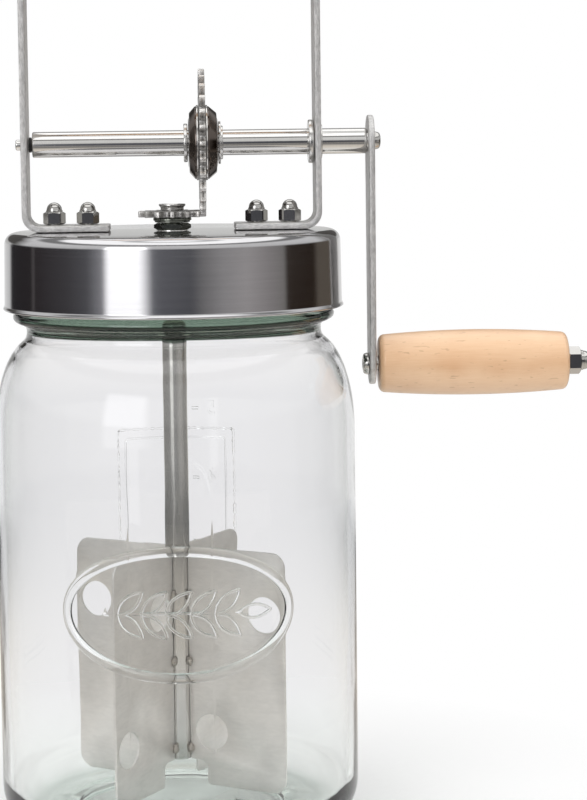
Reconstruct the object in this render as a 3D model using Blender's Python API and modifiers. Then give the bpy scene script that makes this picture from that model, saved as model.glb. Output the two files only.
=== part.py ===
"""A hand-cranked butter churn: a glass jar, a lid with its gear frame, a crank and a dasher.

Metres, +Z up. The origin is the middle of the jar's base, and the crank is on the +X side.
"""

import math

import bmesh
import bpy
from mathutils import Vector

# Clearances between pieces
SEAT_GAP = 0.0003
RUNNING_GAP = 0.0003
CUT_OVERRUN = 0.002
WELD_DISTANCE = 0.000005

# Glass jar
JAR_HEIGHT = 0.243
JAR_RADIUS = 0.074
JAR_WALL = 0.0035
JAR_MOUTH_WALL = 0.00525
JAR_FLOOR = 0.007
JAR_HEEL_RADIUS = 0.018
JAR_BASE_RING_WIDTH = 0.012
JAR_BASE_GROOVE_DEPTH = 0.001
JAR_BASE_GROOVE_INNER_RADIUS = 0.022
JAR_BASE_GROOVE_SLOPE = 0.003
JAR_FINISH_RADIUS = 0.0622
JAR_NECK_STEP = 0.0017
JAR_NECK_HEIGHT = 0.005
JAR_BEAD_DEPTH = 0.0038
JAR_BEAD_HEIGHT = 0.0054
JAR_BEAD_DROP = 0.0287
JAR_BEAD_FILLET = 0.0016
JAR_SHOULDER_HEIGHT = 0.038
JAR_SHOULDER_INSET = 0.003
JAR_RIM_ROUNDING = 0.0015

# Lid shell, its sealing ring and its thread ring
LID_SHEET = 0.0008
LID_TOP_EDGE_RADIUS = 0.0045
LID_SKIRT_FLARE = 0.0004
LID_BEAD_RADIUS = 0.0008
GASKET_THICKNESS = 0.0016
GASKET_OVERHANG = 0.00045
THREAD_CLEARANCE = 0.0023
THREAD_RING_WALL = 0.0032
THREAD_RING_LIP = 0.0012

# Brackets
BRACKET_THICKNESS = 0.0025
BRACKET_WIDTH = 0.022
BRACKET_BEND_RADIUS = 0.007
BRACKET_BOLT_TO_FACE = 0.0127
BRACKET_BOLT_TO_END = 0.0091
TOP_GRIP_HEIGHT = 0.132

# Foot bolts and their cap nuts, M5
FOOT_BOLT_SPACING = 0.0137
FOOT_BOLT_SEAL_CLEARANCE = 0.004
FOOT_BOLT_RADIUS = 0.0025
FOOT_BOLT_HEAD_RADIUS = 0.0042
FOOT_BOLT_HEAD_THICKNESS = 0.002
FOOT_NUT_FLATS = 0.008
FOOT_NUT_HEX_HEIGHT = 0.005
FOOT_NUT_HEIGHT = 0.009
FOOT_NUT_DOME_RADIUS = 0.0032

# Grip rods and their cap nuts, M6
GRIP_ROD_RADIUS = 0.003
GRIP_NUT_FLATS = 0.01
GRIP_NUT_HEX_HEIGHT = 0.0055
GRIP_NUT_HEIGHT = 0.0105
GRIP_NUT_DOME_RADIUS = 0.0039
NUT_BORE_SHARE = 0.62

# Axle
AXLE_RADIUS = 0.00525
AXLE_JOURNAL_RADIUS = 0.0022
AXLE_TIP = 0.0026
AXLE_EDGE = 0.0005
SPACER_LENGTH = 0.0012
SPACER_RADIUS = 0.0031
BUSH_FLANGE_RADIUS = 0.0089
BUSH_FLANGE_THICKNESS = 0.0021
BUSH_WALL = 0.0014
BUSH_PROUD = 0.0008

# Crank
CRANK_ARM_CLEARANCE = 0.0064
CRANK_ARM_THICKNESS = 0.0025
CRANK_THROW = 0.092
CRANK_ARM_TOP_RADIUS = 0.0105
CRANK_ARM_END_RADIUS = 0.0085
TENON_RADIUS = 0.004
TENON_FLAT = 0.003
ARM_SCREW_HEAD_RADIUS = 0.00365
ARM_SCREW_HEAD_THICKNESS = 0.0026
ARM_SCREW_CROWN_SHARE = 0.12
ARM_SCREW_EDGE_SHARE = 0.35
ARM_SCREW_RADIUS = 0.0015
ARM_SCREW_LENGTH = 0.012
GRIP_BOLT_HEAD_RADIUS = 0.0045
GRIP_BOLT_HEAD_THICKNESS = 0.0024

# Wooden grips
GRIP_GAP = 0.0014
GRIP_LENGTH = 0.0781
GRIP_END_RADIUS = 0.012
GRIP_MIDDLE_RADIUS = 0.0135
GRIP_EDGE_RADIUS = 0.0025

# Drive gear and its hub
GEAR_THICKNESS = 0.0025
GEAR_TEETH = 28
GEAR_TIP_RADIUS = 0.0302
GEAR_TOOTH_DEPTH = 0.005
GEAR_GAP_RADIUS = 0.0019
GEAR_TIP_WIDTH = 0.0016
GEAR_DIP = 0.0013
GEAR_PINION_CLEARANCE = 0.00125
HUB_RIM_RADIUS = 0.0154
HUB_FACE_RADIUS = 0.0127
HUB_LEFT_DEPTH = 0.00405
HUB_RIGHT_DEPTH = 0.0049
HUB_RIM_STEP = 0.0006
HUB_CROWN = 0.0004
WASHER_LEFT_THICKNESS = 0.0016
WASHER_LEFT_RADIUS = 0.0079
WASHER_RIGHT_THICKNESS = 0.0018
WASHER_RIGHT_RADIUS = 0.0088

# Pinion stack on the dasher shaft
PINION_TEETH = 14
PINION_THICKNESS = 0.0025
PINION_TIP_RADIUS = 0.0142
PINION_TOOTH_DEPTH = 0.0041
PINION_GAP_RADIUS = 0.0018
PINION_TIP_WIDTH = 0.0016
PINION_WASHER_RADIUS = 0.0079
PINION_WASHER_THICKNESS = 0.00185
PINION_CAP_NECK_RADIUS = 0.0048
PINION_CAP_RIM_RADIUS = 0.0055
PINION_CAP_RIM = 0.0007
PINION_CAP_HEIGHT = 0.0025
PINION_CAP_ROOF = 0.0009
PINION_CAP_DISH_RADIUS = 0.004
PINION_CAP_DISH_DEPTH = 0.0004
BUSH_NUT_FLATS = 0.01325
BUSH_NUT_HEIGHT = 0.0028
SHAFT_BUSH_RADIUS = 0.0062
SHAFT_BUSH_FLANGE_RADIUS = 0.0095
SHAFT_BUSH_FLANGE_THICKNESS = 0.002

# Dasher shaft and blades
SHAFT_RADIUS = 0.005
SHAFT_BUSH_JOURNAL_RADIUS = 0.004
SHAFT_TOP_RADIUS = 0.003
SHAFT_EDGE = 0.0005
BLADE_FLOOR_CLEARANCE = 0.0083
BLADE_MOUTH_CLEARANCE = 0.00695
BLADE_HEIGHT = 0.1
BLADE_THICKNESS = 0.001
BLADE_CORNER_RADIUS = 0.006
BLADE_NOTCH_WIDTH = 0.008
BLADE_NOTCH_HEIGHT = 0.01
BLADE_HOLE_RADIUS = 0.0075
BLADE_OUTER_HOLE_INSET = 0.0095
BLADE_INNER_HOLE_OFFSET = 0.0105
BLADE_UPPER_HOLE_DROP = 0.026
BLADE_LOWER_HOLE_RISE = 0.0225
BLADE_FIRST_ANGLE = math.radians(-31)
BLADE_COUNT = 4

# Facets
FINE_STEPS = 36
GRIP_STEPS = 24
ROUND_STEPS = 20
SMALL_STEPS = 12
SHARP_ANGLE = math.radians(35)
QUARTER_TURN = math.pi / 2

# Places that follow from the sizes above
JAR_MOUTH_RADIUS = JAR_FINISH_RADIUS - JAR_MOUTH_WALL
JAR_NECK_RADIUS = JAR_FINISH_RADIUS - JAR_NECK_STEP
JAR_SHOULDER_CENTRE_RADIUS = JAR_NECK_RADIUS - JAR_SHOULDER_INSET
JAR_BASE_GROOVE_OUTER_RADIUS = JAR_RADIUS - JAR_HEEL_RADIUS - JAR_BASE_RING_WIDTH
THREAD_RING_RADIUS = JAR_FINISH_RADIUS + THREAD_CLEARANCE + THREAD_RING_WALL
LID_TOP_RADIUS = THREAD_RING_RADIUS + SEAT_GAP + LID_SHEET
LID_SKIRT_RADIUS = LID_TOP_RADIUS + LID_SKIRT_FLARE
LID_RISE = GASKET_THICKNESS + LID_SHEET + 2 * SEAT_GAP
LID_TOP = JAR_HEIGHT + LID_RISE
LID_HEIGHT = LID_RISE + JAR_BEAD_DROP - SEAT_GAP
LID_UNDERSIDE = -LID_SHEET - SEAT_GAP
GASKET_INNER_RADIUS = JAR_MOUTH_RADIUS - GASKET_OVERHANG
FOOT_TOP = SEAT_GAP + BRACKET_THICKNESS
FOOT_BOLT_OUTER = GASKET_INNER_RADIUS - FOOT_BOLT_SEAL_CLEARANCE - FOOT_BOLT_HEAD_RADIUS
FOOT_BOLT_INNER = FOOT_BOLT_OUTER - FOOT_BOLT_SPACING
BRACKET_FOOT_END = FOOT_BOLT_INNER - BRACKET_BOLT_TO_END
BRACKET_REACH = FOOT_BOLT_OUTER + BRACKET_BOLT_TO_FACE
BRACKET_INNER_FACE = BRACKET_REACH - BRACKET_THICKNESS
BRACKET_TOP = TOP_GRIP_HEIGHT + BRACKET_WIDTH / 2
BUSH_NUT_TOP = SEAT_GAP + BUSH_NUT_HEIGHT
PINION_WASHER_BOTTOM = BUSH_NUT_TOP + SEAT_GAP
PINION_BOTTOM = PINION_WASHER_BOTTOM + PINION_WASHER_THICKNESS + SEAT_GAP
PINION_HEIGHT = PINION_BOTTOM + PINION_THICKNESS / 2
PINION_TOP = PINION_BOTTOM + PINION_THICKNESS
PINION_CAP_TOP = PINION_TOP + SEAT_GAP + PINION_CAP_HEIGHT
PINION_ROOT_RADIUS = PINION_TIP_RADIUS - PINION_TOOTH_DEPTH
GEAR_ROOT_RADIUS = GEAR_TIP_RADIUS - GEAR_TOOTH_DEPTH
GEAR_PLANE = PINION_ROOT_RADIUS + GEAR_PINION_CLEARANCE + GEAR_THICKNESS / 2
HUB_LEFT_SEAT = GEAR_PLANE - GEAR_THICKNESS / 2 - SEAT_GAP
HUB_RIGHT_SEAT = GEAR_PLANE + GEAR_THICKNESS / 2 + SEAT_GAP
AXLE_HEIGHT = PINION_HEIGHT - GEAR_DIP + GEAR_TIP_RADIUS
AXLE_LEFT_END = BRACKET_INNER_FACE - SPACER_LENGTH - 2 * SEAT_GAP
CRANK_ARM_OFFSET = max(JAR_RADIUS, LID_SKIRT_RADIUS) + CRANK_ARM_CLEARANCE
CRANK_ARM_OUTER_FACE = CRANK_ARM_OFFSET + CRANK_ARM_THICKNESS
GRIP_START = CRANK_ARM_OUTER_FACE + GRIP_GAP
GRIP_BORE_RADIUS = GRIP_ROD_RADIUS + RUNNING_GAP
BLADE_REACH = JAR_MOUTH_RADIUS - BLADE_MOUTH_CLEARANCE
BLADE_OUTER_HOLE_REACH = BLADE_REACH - BLADE_OUTER_HOLE_INSET
BLADE_INNER_HOLE_REACH = SHAFT_RADIUS + BLADE_INNER_HOLE_OFFSET
BLADE_BOTTOM_DROP = LID_TOP - JAR_FLOOR - BLADE_FLOOR_CLEARANCE
BLADE_TOP_DROP = BLADE_BOTTOM_DROP - BLADE_HEIGHT
BLADE_UPPER_HOLE = -BLADE_TOP_DROP - BLADE_UPPER_HOLE_DROP
BLADE_LOWER_HOLE = -BLADE_BOTTOM_DROP + BLADE_LOWER_HOLE_RISE


def new_collection(name):
    collection = bpy.data.collections.new(name)
    bpy.context.scene.collection.children.link(collection)
    return collection


def new_material(name, colour, roughness, metallic, transmission=0.0):
    material = bpy.data.materials.new(name)
    material.use_nodes = True
    shader = material.node_tree.nodes["Principled BSDF"]
    shader.inputs["Base Color"].default_value = (*colour, 1.0)
    shader.inputs["Roughness"].default_value = roughness
    shader.inputs["Metallic"].default_value = metallic
    shader.inputs["Transmission Weight"].default_value = transmission
    return material


def place(piece, parent, location=(0, 0, 0), rotation=(0, 0, 0), material=None):
    """Puts a piece at its place under the empty that stands for its moving body."""
    piece.parent = parent
    piece.location = location
    piece.rotation_euler = rotation
    if material is not None:
        piece.data.materials.append(material)
    return piece


def new_object(name, data, collection):
    piece = bpy.data.objects.new(name, data)
    collection.objects.link(piece)
    return piece


def new_axis(name, collection, parent=None, location=(0, 0, 0)):
    """An empty that marks a body's frame, with its joint's axis through it."""
    axis = new_object(name, None, collection)
    axis.parent = parent
    axis.location = location
    return axis


def turned(name, outline, steps, collection):
    """A piece turned about its own Z axis.

    The outline is (radius, height) points that run down the outer side, and back up the inner
    side where the piece has a bore. It is open only where both of its ends are on the axis.
    """
    shape = bmesh.new()
    points = [shape.verts.new((radius, 0, height)) for radius, height in outline]
    for first, second in zip(points, points[1:]):
        shape.edges.new((first, second))
    if outline[0][0] > 0:
        shape.edges.new((points[-1], points[0]))
    mesh = bpy.data.meshes.new(name)
    shape.to_mesh(mesh)
    shape.free()
    piece = new_object(name, mesh, collection)
    turn = piece.modifiers.new("Turn", "SCREW")
    turn.steps = steps
    turn.render_steps = steps
    turn.use_merge_vertices = True
    turn.merge_threshold = WELD_DISTANCE
    turn.use_smooth_shade = True
    return piece


def plate(name, outlines, thickness, collection):
    """A flat piece in its own XY plane. The first outline is its edge, and the others are holes."""
    curve = bpy.data.curves.new(name, "CURVE")
    curve.dimensions = "2D"
    curve.fill_mode = "BOTH"
    curve.extrude = thickness / 2
    for outline in outlines:
        spline = curve.splines.new("POLY")
        spline.points.add(len(outline) - 1)
        for point, (x, y) in zip(spline.points, outline):
            point.co = (x, y, 0, 1)
        spline.use_cyclic_u = True
    guide = new_object(name + "_outline", curve, collection)
    depsgraph = bpy.context.evaluated_depsgraph_get()
    mesh = bpy.data.meshes.new_from_object(guide.evaluated_get(depsgraph))
    bpy.data.objects.remove(guide)
    shape = bmesh.new()
    shape.from_mesh(mesh)
    bmesh.ops.remove_doubles(shape, verts=shape.verts, dist=WELD_DISTANCE)
    bmesh.ops.recalc_face_normals(shape, faces=shape.faces)
    shape.to_mesh(mesh)
    shape.free()
    mesh.name = name
    mesh.shade_smooth()
    mesh.set_sharp_from_angle(angle=SHARP_ANGLE)
    return new_object(name, mesh, collection)


def prism(name, radius, length, sides, collection):
    """A straight prism about its own Z axis, from zero up to its length."""
    shape = bmesh.new()
    bmesh.ops.create_cone(
        shape, cap_ends=True, segments=sides, radius1=radius, radius2=radius, depth=length
    )
    bmesh.ops.translate(shape, verts=shape.verts, vec=(0, 0, length / 2))
    mesh = bpy.data.meshes.new(name)
    shape.to_mesh(mesh)
    shape.free()
    return new_object(name, mesh, collection)


def hide_tool(tool):
    """Keeps a cutter out of the part."""
    tool.hide_render = True
    tool.display_type = "WIRE"


def cutter(name, radius, length, parent, location, rotation, collection):
    """A round cutter that stands for a drilled hole."""
    tool = prism(name, radius, length, ROUND_STEPS, collection)
    hide_tool(tool)
    return place(tool, parent, location, rotation)


def combine(piece, tool, operation):
    """Cuts, joins or trims a piece with another object."""
    step = piece.modifiers.new(operation.title(), "BOOLEAN")
    step.operation = operation
    step.solver = "EXACT"
    step.object = tool


def arc(centre, radius, start, end, count):
    """Points on an arc, both of its ends among them. The radius may be one for each axis."""
    across, up = radius if isinstance(radius, tuple) else (radius, radius)
    angles = [start + (end - start) * step / (count - 1) for step in range(count)]
    return [(centre[0] + across * math.cos(a), centre[1] + up * math.sin(a)) for a in angles]


def circle(centre, radius, count):
    return arc(centre, radius, 0, 2 * math.pi, count + 1)[:-1]


def ring_outline(inner, outer, bottom, top):
    return [(inner, top), (outer, top), (outer, bottom), (inner, bottom)]


def toothed_outline(teeth, tip_radius, root_radius, gap_radius, tip_width):
    """The edge of a toothed wheel whose first tooth points along +X.

    Each gap has a round bottom, and its flanks open out to the tips on both sides.
    """
    pitch = 2 * math.pi / teeth
    half_tip = tip_width / 2 / tip_radius
    gap_centre = root_radius + gap_radius
    outline = []
    for tooth in range(teeth):
        middle = tooth * pitch
        outline += arc((0, 0), tip_radius, middle - half_tip, middle + half_tip, 2)
        gap = middle + pitch / 2
        centre = (gap_centre * math.cos(gap), gap_centre * math.sin(gap))
        start = gap - QUARTER_TURN
        outline += arc(centre, gap_radius, start, start - math.pi, 5)
    return outline


def jar_outline():
    """The jar's section from the middle of its floor, up inside, over the rim and down outside."""
    bead_top = JAR_HEIGHT - JAR_BEAD_DROP
    bead_middle = bead_top - JAR_BEAD_HEIGHT / 2
    neck_top = bead_top - JAR_BEAD_HEIGHT - JAR_BEAD_FILLET
    neck_bottom = neck_top - JAR_NECK_HEIGHT
    wall_top = neck_bottom - JAR_SHOULDER_HEIGHT
    heel_centre = JAR_RADIUS - JAR_HEEL_RADIUS
    shoulder_width = JAR_RADIUS - JAR_SHOULDER_CENTRE_RADIUS
    start = math.acos((JAR_NECK_RADIUS - JAR_SHOULDER_CENTRE_RADIUS) / shoulder_width)
    shoulder_rise = JAR_SHOULDER_HEIGHT / math.sin(start)
    inner_heel = JAR_HEEL_RADIUS - JAR_WALL
    inner_wall = JAR_RADIUS - JAR_WALL
    inner_width = inner_wall - JAR_SHOULDER_CENTRE_RADIUS
    mouth_end = math.asin(1 - JAR_RIM_ROUNDING / JAR_SHOULDER_HEIGHT)

    outline = [(0, JAR_FLOOR)]
    outline += arc((heel_centre, JAR_FLOOR + inner_heel), inner_heel, -QUARTER_TURN, 0, 4)
    outline += arc(
        (JAR_SHOULDER_CENTRE_RADIUS, wall_top), (inner_width, shoulder_rise), 0, mouth_end, 6
    )
    outline += [(JAR_MOUTH_RADIUS, neck_top)]
    outline += arc(
        (JAR_MOUTH_RADIUS + JAR_RIM_ROUNDING, JAR_HEIGHT - JAR_RIM_ROUNDING),
        JAR_RIM_ROUNDING, math.pi, QUARTER_TURN, 3,
    )
    outline += arc(
        (JAR_FINISH_RADIUS - JAR_RIM_ROUNDING, JAR_HEIGHT - JAR_RIM_ROUNDING),
        JAR_RIM_ROUNDING, QUARTER_TURN, 0, 3,
    )
    outline += [(JAR_FINISH_RADIUS, bead_top)]
    outline += arc(
        (JAR_FINISH_RADIUS, bead_middle),
        (JAR_BEAD_DEPTH, JAR_BEAD_HEIGHT / 2), math.radians(60), math.radians(-60), 4,
    )
    outline += [(JAR_FINISH_RADIUS, bead_top - JAR_BEAD_HEIGHT)]
    outline += [(JAR_NECK_RADIUS, neck_top), (JAR_NECK_RADIUS, neck_bottom)]
    outline += arc(
        (JAR_SHOULDER_CENTRE_RADIUS, wall_top), (shoulder_width, shoulder_rise), start, 0, 7
    )[1:]
    outline += arc((heel_centre, JAR_HEEL_RADIUS), JAR_HEEL_RADIUS, 0, -QUARTER_TURN, 5)
    outline += [
        (JAR_BASE_GROOVE_OUTER_RADIUS, 0),
        (JAR_BASE_GROOVE_OUTER_RADIUS - JAR_BASE_GROOVE_SLOPE, JAR_BASE_GROOVE_DEPTH),
        (JAR_BASE_GROOVE_INNER_RADIUS + JAR_BASE_GROOVE_SLOPE, JAR_BASE_GROOVE_DEPTH),
        (JAR_BASE_GROOVE_INNER_RADIUS, 0),
        (0, 0),
    ]
    return outline


def make_jar(parts, parent, material):
    jar = turned("glass_jar", jar_outline(), FINE_STEPS, parts)
    place(jar, parent, material=material)


def make_lid_shell(parts, tools, lid, material):
    """The pressed steel cap, with holes for the shaft's bush and the four foot bolts."""
    edge_centre = (LID_TOP_RADIUS - LID_TOP_EDGE_RADIUS, -LID_TOP_EDGE_RADIUS)
    bead_centre = (LID_SKIRT_RADIUS, -LID_HEIGHT + LID_BEAD_RADIUS)
    inner_edge = LID_TOP_EDGE_RADIUS - LID_SHEET
    bore = SHAFT_BUSH_RADIUS + SEAT_GAP
    outline = [(bore, 0)]
    outline += arc(edge_centre, LID_TOP_EDGE_RADIUS, QUARTER_TURN, 0, 5)
    outline += arc(bead_centre, LID_BEAD_RADIUS, QUARTER_TURN, -QUARTER_TURN, 4)
    outline += [(LID_SKIRT_RADIUS - LID_SHEET, -LID_HEIGHT)]
    outline += arc(edge_centre, inner_edge, 0, QUARTER_TURN, 4)
    outline += [(bore, -LID_SHEET)]
    shell = turned("lid_shell", outline, FINE_STEPS, parts)
    place(shell, lid, material=material)
    for index, along in enumerate(foot_bolt_places(), 1):
        hole = cutter(
            f"lid_bolt_hole_{index}", FOOT_BOLT_RADIUS + SEAT_GAP, LID_SHEET + 2 * CUT_OVERRUN,
            lid, (along, 0, -LID_SHEET - CUT_OVERRUN), (0, 0, 0), tools,
        )
        combine(shell, hole, "DIFFERENCE")


def make_lid_rings(parts, lid, rubber, plastic):
    ring_outer = THREAD_RING_RADIUS
    ring_inner = ring_outer - THREAD_RING_WALL
    gasket_bottom = LID_UNDERSIDE - GASKET_THICKNESS
    corner = LID_TOP_EDGE_RADIUS
    outline = [
        (GASKET_INNER_RADIUS, LID_UNDERSIDE),
        (ring_outer - corner, LID_UNDERSIDE),
        (ring_outer - corner / 2, gasket_bottom),
        (GASKET_INNER_RADIUS, gasket_bottom),
    ]
    gasket = turned("lid_gasket", outline, FINE_STEPS, parts)
    place(gasket, lid, material=rubber)

    top = -LID_TOP_EDGE_RADIUS
    bottom = -LID_HEIGHT + 2 * LID_BEAD_RADIUS
    outline = ring_outline(ring_inner, ring_outer, bottom, top)
    outline[2] = (ring_outer, bottom + THREAD_RING_LIP)
    outline.insert(3, (ring_outer - THREAD_RING_LIP, bottom))
    ring = turned("lid_thread_ring", outline, FINE_STEPS, parts)
    place(ring, lid, material=plastic)


def foot_bolt_places():
    """The four foot bolts' places along X, from left to right."""
    return [-FOOT_BOLT_OUTER, -FOOT_BOLT_INNER, FOOT_BOLT_INNER, FOOT_BOLT_OUTER]


def bracket_outline(side):
    """The bracket's edge seen from the front. The side is 1 on the right and -1 on the left."""
    centre = (BRACKET_REACH - BRACKET_BEND_RADIUS, SEAT_GAP + BRACKET_BEND_RADIUS)
    inner_bend = BRACKET_BEND_RADIUS - BRACKET_THICKNESS
    outline = [(BRACKET_FOOT_END, SEAT_GAP)]
    outline += arc(centre, BRACKET_BEND_RADIUS, -QUARTER_TURN, 0, 7)
    outline += [(BRACKET_REACH, BRACKET_TOP), (BRACKET_INNER_FACE, BRACKET_TOP)]
    outline += arc(centre, inner_bend, 0, -QUARTER_TURN, 7)
    outline += [(BRACKET_FOOT_END, FOOT_TOP)]
    return [(side * x, z) for x, z in outline]


def make_brackets(parts, tools, lid, steel):
    """Two flat bars, bent outwards at the foot, drilled, and rounded at the top."""
    half = BRACKET_WIDTH / 2
    face = [(-half, -CUT_OVERRUN)]
    face += [(half, -CUT_OVERRUN)]
    face += arc((0, TOP_GRIP_HEIGHT), half, 0, math.pi, 13)
    blank = plate("bracket_blank", [face], 2 * BRACKET_REACH + 2 * CUT_OVERRUN, tools)
    hide_tool(blank)
    place(blank, lid, rotation=(QUARTER_TURN, 0, QUARTER_TURN))

    depth = BRACKET_THICKNESS + 2 * CUT_OVERRUN
    across = (0, QUARTER_TURN, 0)
    axle_holes = {
        "left": AXLE_JOURNAL_RADIUS + RUNNING_GAP,
        "right": AXLE_RADIUS + RUNNING_GAP + BUSH_WALL + SEAT_GAP,
    }
    for name, side in (("left", -1), ("right", 1)):
        bracket = plate(f"{name}_bracket", [bracket_outline(side)], BRACKET_WIDTH, parts)
        place(bracket, lid, rotation=(QUARTER_TURN, 0, 0), material=steel)
        combine(bracket, blank, "INTERSECT")
        for bolt, along in (("inner", FOOT_BOLT_INNER), ("outer", FOOT_BOLT_OUTER)):
            hole = cutter(
                f"{name}_foot_hole_{bolt}", FOOT_BOLT_RADIUS + SEAT_GAP, depth,
                lid, (side * along, 0, SEAT_GAP - CUT_OVERRUN), (0, 0, 0), tools,
            )
            combine(bracket, hole, "DIFFERENCE")
        start = BRACKET_INNER_FACE - CUT_OVERRUN if side > 0 else -BRACKET_REACH - CUT_OVERRUN
        hole = cutter(
            f"{name}_axle_hole", axle_holes[name], depth,
            lid, (start, 0, AXLE_HEIGHT), across, tools,
        )
        combine(bracket, hole, "DIFFERENCE")
        hole = cutter(
            f"{name}_rod_hole", GRIP_BORE_RADIUS, depth,
            lid, (start, 0, TOP_GRIP_HEIGHT), across, tools,
        )
        combine(bracket, hole, "DIFFERENCE")


def make_cap_nut(name, sizes, parent, location, rotation, parts, tools, material):
    """A domed nut that stands on its own origin, with a blind hole for its bolt."""
    flats, hex_height, height, dome_radius, bolt_radius = sizes
    nut = prism(name, flats / math.sqrt(3), hex_height, 6, parts)
    place(nut, parent, location, rotation, material)
    straight = height - dome_radius
    outline = [(0, height)]
    outline += arc((0, straight), dome_radius, math.radians(60), 0, 3)
    outline += [(dome_radius, hex_height / 2), (0, hex_height / 2)]
    dome = turned(name + "_dome", outline, SMALL_STEPS, tools)
    hide_tool(dome)
    place(dome, parent, location, rotation)
    combine(nut, dome, "UNION")
    bore = prism(
        name + "_bore", bolt_radius + SEAT_GAP, height * NUT_BORE_SHARE + CUT_OVERRUN,
        SMALL_STEPS, tools,
    )
    hide_tool(bore)
    shift = Vector((0, 0, -CUT_OVERRUN))
    shift.rotate(nut.rotation_euler)
    place(bore, parent, Vector(location) + shift, rotation)
    combine(nut, bore, "DIFFERENCE")


def make_foot_fasteners(parts, tools, lid, steel):
    """Four bolts with their heads under the lid, and four cap nuts on the brackets' feet."""
    sizes = (
        FOOT_NUT_FLATS, FOOT_NUT_HEX_HEIGHT, FOOT_NUT_HEIGHT, FOOT_NUT_DOME_RADIUS,
        FOOT_BOLT_RADIUS,
    )
    nut_bottom = FOOT_TOP + SEAT_GAP
    bolt_top = nut_bottom + FOOT_NUT_HEIGHT * NUT_BORE_SHARE - SEAT_GAP
    head_bottom = LID_UNDERSIDE - FOOT_BOLT_HEAD_THICKNESS
    for index, along in enumerate(foot_bolt_places(), 1):
        outline = [
            (0, bolt_top),
            (FOOT_BOLT_RADIUS, bolt_top),
            (FOOT_BOLT_RADIUS, LID_UNDERSIDE),
            (FOOT_BOLT_HEAD_RADIUS, LID_UNDERSIDE),
            (FOOT_BOLT_HEAD_RADIUS, (LID_UNDERSIDE + head_bottom) / 2),
            (FOOT_BOLT_HEAD_RADIUS - FOOT_BOLT_HEAD_THICKNESS / 2, head_bottom),
            (0, head_bottom),
        ]
        bolt = turned(f"foot_bolt_{index}", outline, SMALL_STEPS, parts)
        place(bolt, lid, (along, 0, 0), material=steel)
        make_cap_nut(
            f"foot_nut_{index}", sizes, lid, (along, 0, nut_bottom), (0, 0, 0),
            parts, tools, steel,
        )


def make_shaft_bush(parts, tools, lid, steel, dark_steel):
    """The flanged bush through the lid that the dasher's shaft turns in, and its nut."""
    bore = SHAFT_BUSH_JOURNAL_RADIUS + RUNNING_GAP
    flange_bottom = LID_UNDERSIDE - SHAFT_BUSH_FLANGE_THICKNESS
    outline = [
        (bore, BUSH_NUT_TOP),
        (SHAFT_BUSH_RADIUS, BUSH_NUT_TOP),
        (SHAFT_BUSH_RADIUS, LID_UNDERSIDE),
        (SHAFT_BUSH_FLANGE_RADIUS, LID_UNDERSIDE),
        (SHAFT_BUSH_FLANGE_RADIUS, flange_bottom),
        (bore, flange_bottom),
    ]
    bush = turned("shaft_bush", outline, ROUND_STEPS, parts)
    place(bush, lid, material=steel)
    nut = prism("bush_nut", BUSH_NUT_FLATS / math.sqrt(3), BUSH_NUT_HEIGHT, 6, parts)
    place(nut, lid, (0, 0, SEAT_GAP), material=dark_steel)
    hole = cutter(
        "bush_nut_hole", SHAFT_BUSH_RADIUS + SEAT_GAP, BUSH_NUT_HEIGHT + 2 * CUT_OVERRUN,
        lid, (0, 0, SEAT_GAP - CUT_OVERRUN), (0, 0, 0), tools,
    )
    combine(nut, hole, "DIFFERENCE")


def make_axle_bearings(parts, lid, steel, black):
    """The flanged bush in the right bracket, and the spacer inside the left one."""
    across = (0, QUARTER_TURN, 0)
    bore = AXLE_RADIUS + RUNNING_GAP
    barrel = bore + BUSH_WALL
    flange_outer = BRACKET_INNER_FACE - SEAT_GAP
    flange_inner = flange_outer - BUSH_FLANGE_THICKNESS
    barrel_end = BRACKET_REACH + BUSH_PROUD
    outline = [
        (bore, barrel_end),
        (barrel, barrel_end),
        (barrel, flange_outer),
        (BUSH_FLANGE_RADIUS, flange_outer),
        (BUSH_FLANGE_RADIUS, flange_inner),
        (bore, flange_inner),
    ]
    bush = turned("axle_bush", outline, ROUND_STEPS, parts)
    place(bush, lid, (0, 0, AXLE_HEIGHT), across, steel)
    outline = ring_outline(
        AXLE_JOURNAL_RADIUS + RUNNING_GAP, SPACER_RADIUS,
        SEAT_GAP - BRACKET_INNER_FACE, -AXLE_LEFT_END - SEAT_GAP,
    )
    spacer = turned("axle_spacer", outline, ROUND_STEPS, parts)
    place(spacer, lid, (0, 0, AXLE_HEIGHT), across, black)


def grip_outline(start, length):
    """A wooden barrel with a bore, thickest at its middle, that starts at a place on its axis."""
    half = length / 2
    middle = start + half
    swell = GRIP_MIDDLE_RADIUS - GRIP_END_RADIUS
    edge = GRIP_EDGE_RADIUS
    steps = 7
    span = half - edge
    outline = [(GRIP_BORE_RADIUS, start + length)]
    outline += arc((GRIP_END_RADIUS - edge, middle + span), edge, QUARTER_TURN, 0, 4)
    for step in range(1, steps - 1):
        share = 1 - 2 * step / (steps - 1)
        outline.append((GRIP_END_RADIUS + swell * (1 - share * share), middle + span * share))
    outline += arc((GRIP_END_RADIUS - edge, middle - span), edge, 0, -QUARTER_TURN, 4)
    outline += [(GRIP_BORE_RADIUS, start)]
    return outline


def grip_nut_sizes():
    return (
        GRIP_NUT_FLATS, GRIP_NUT_HEX_HEIGHT, GRIP_NUT_HEIGHT, GRIP_NUT_DOME_RADIUS,
        GRIP_ROD_RADIUS,
    )


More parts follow.
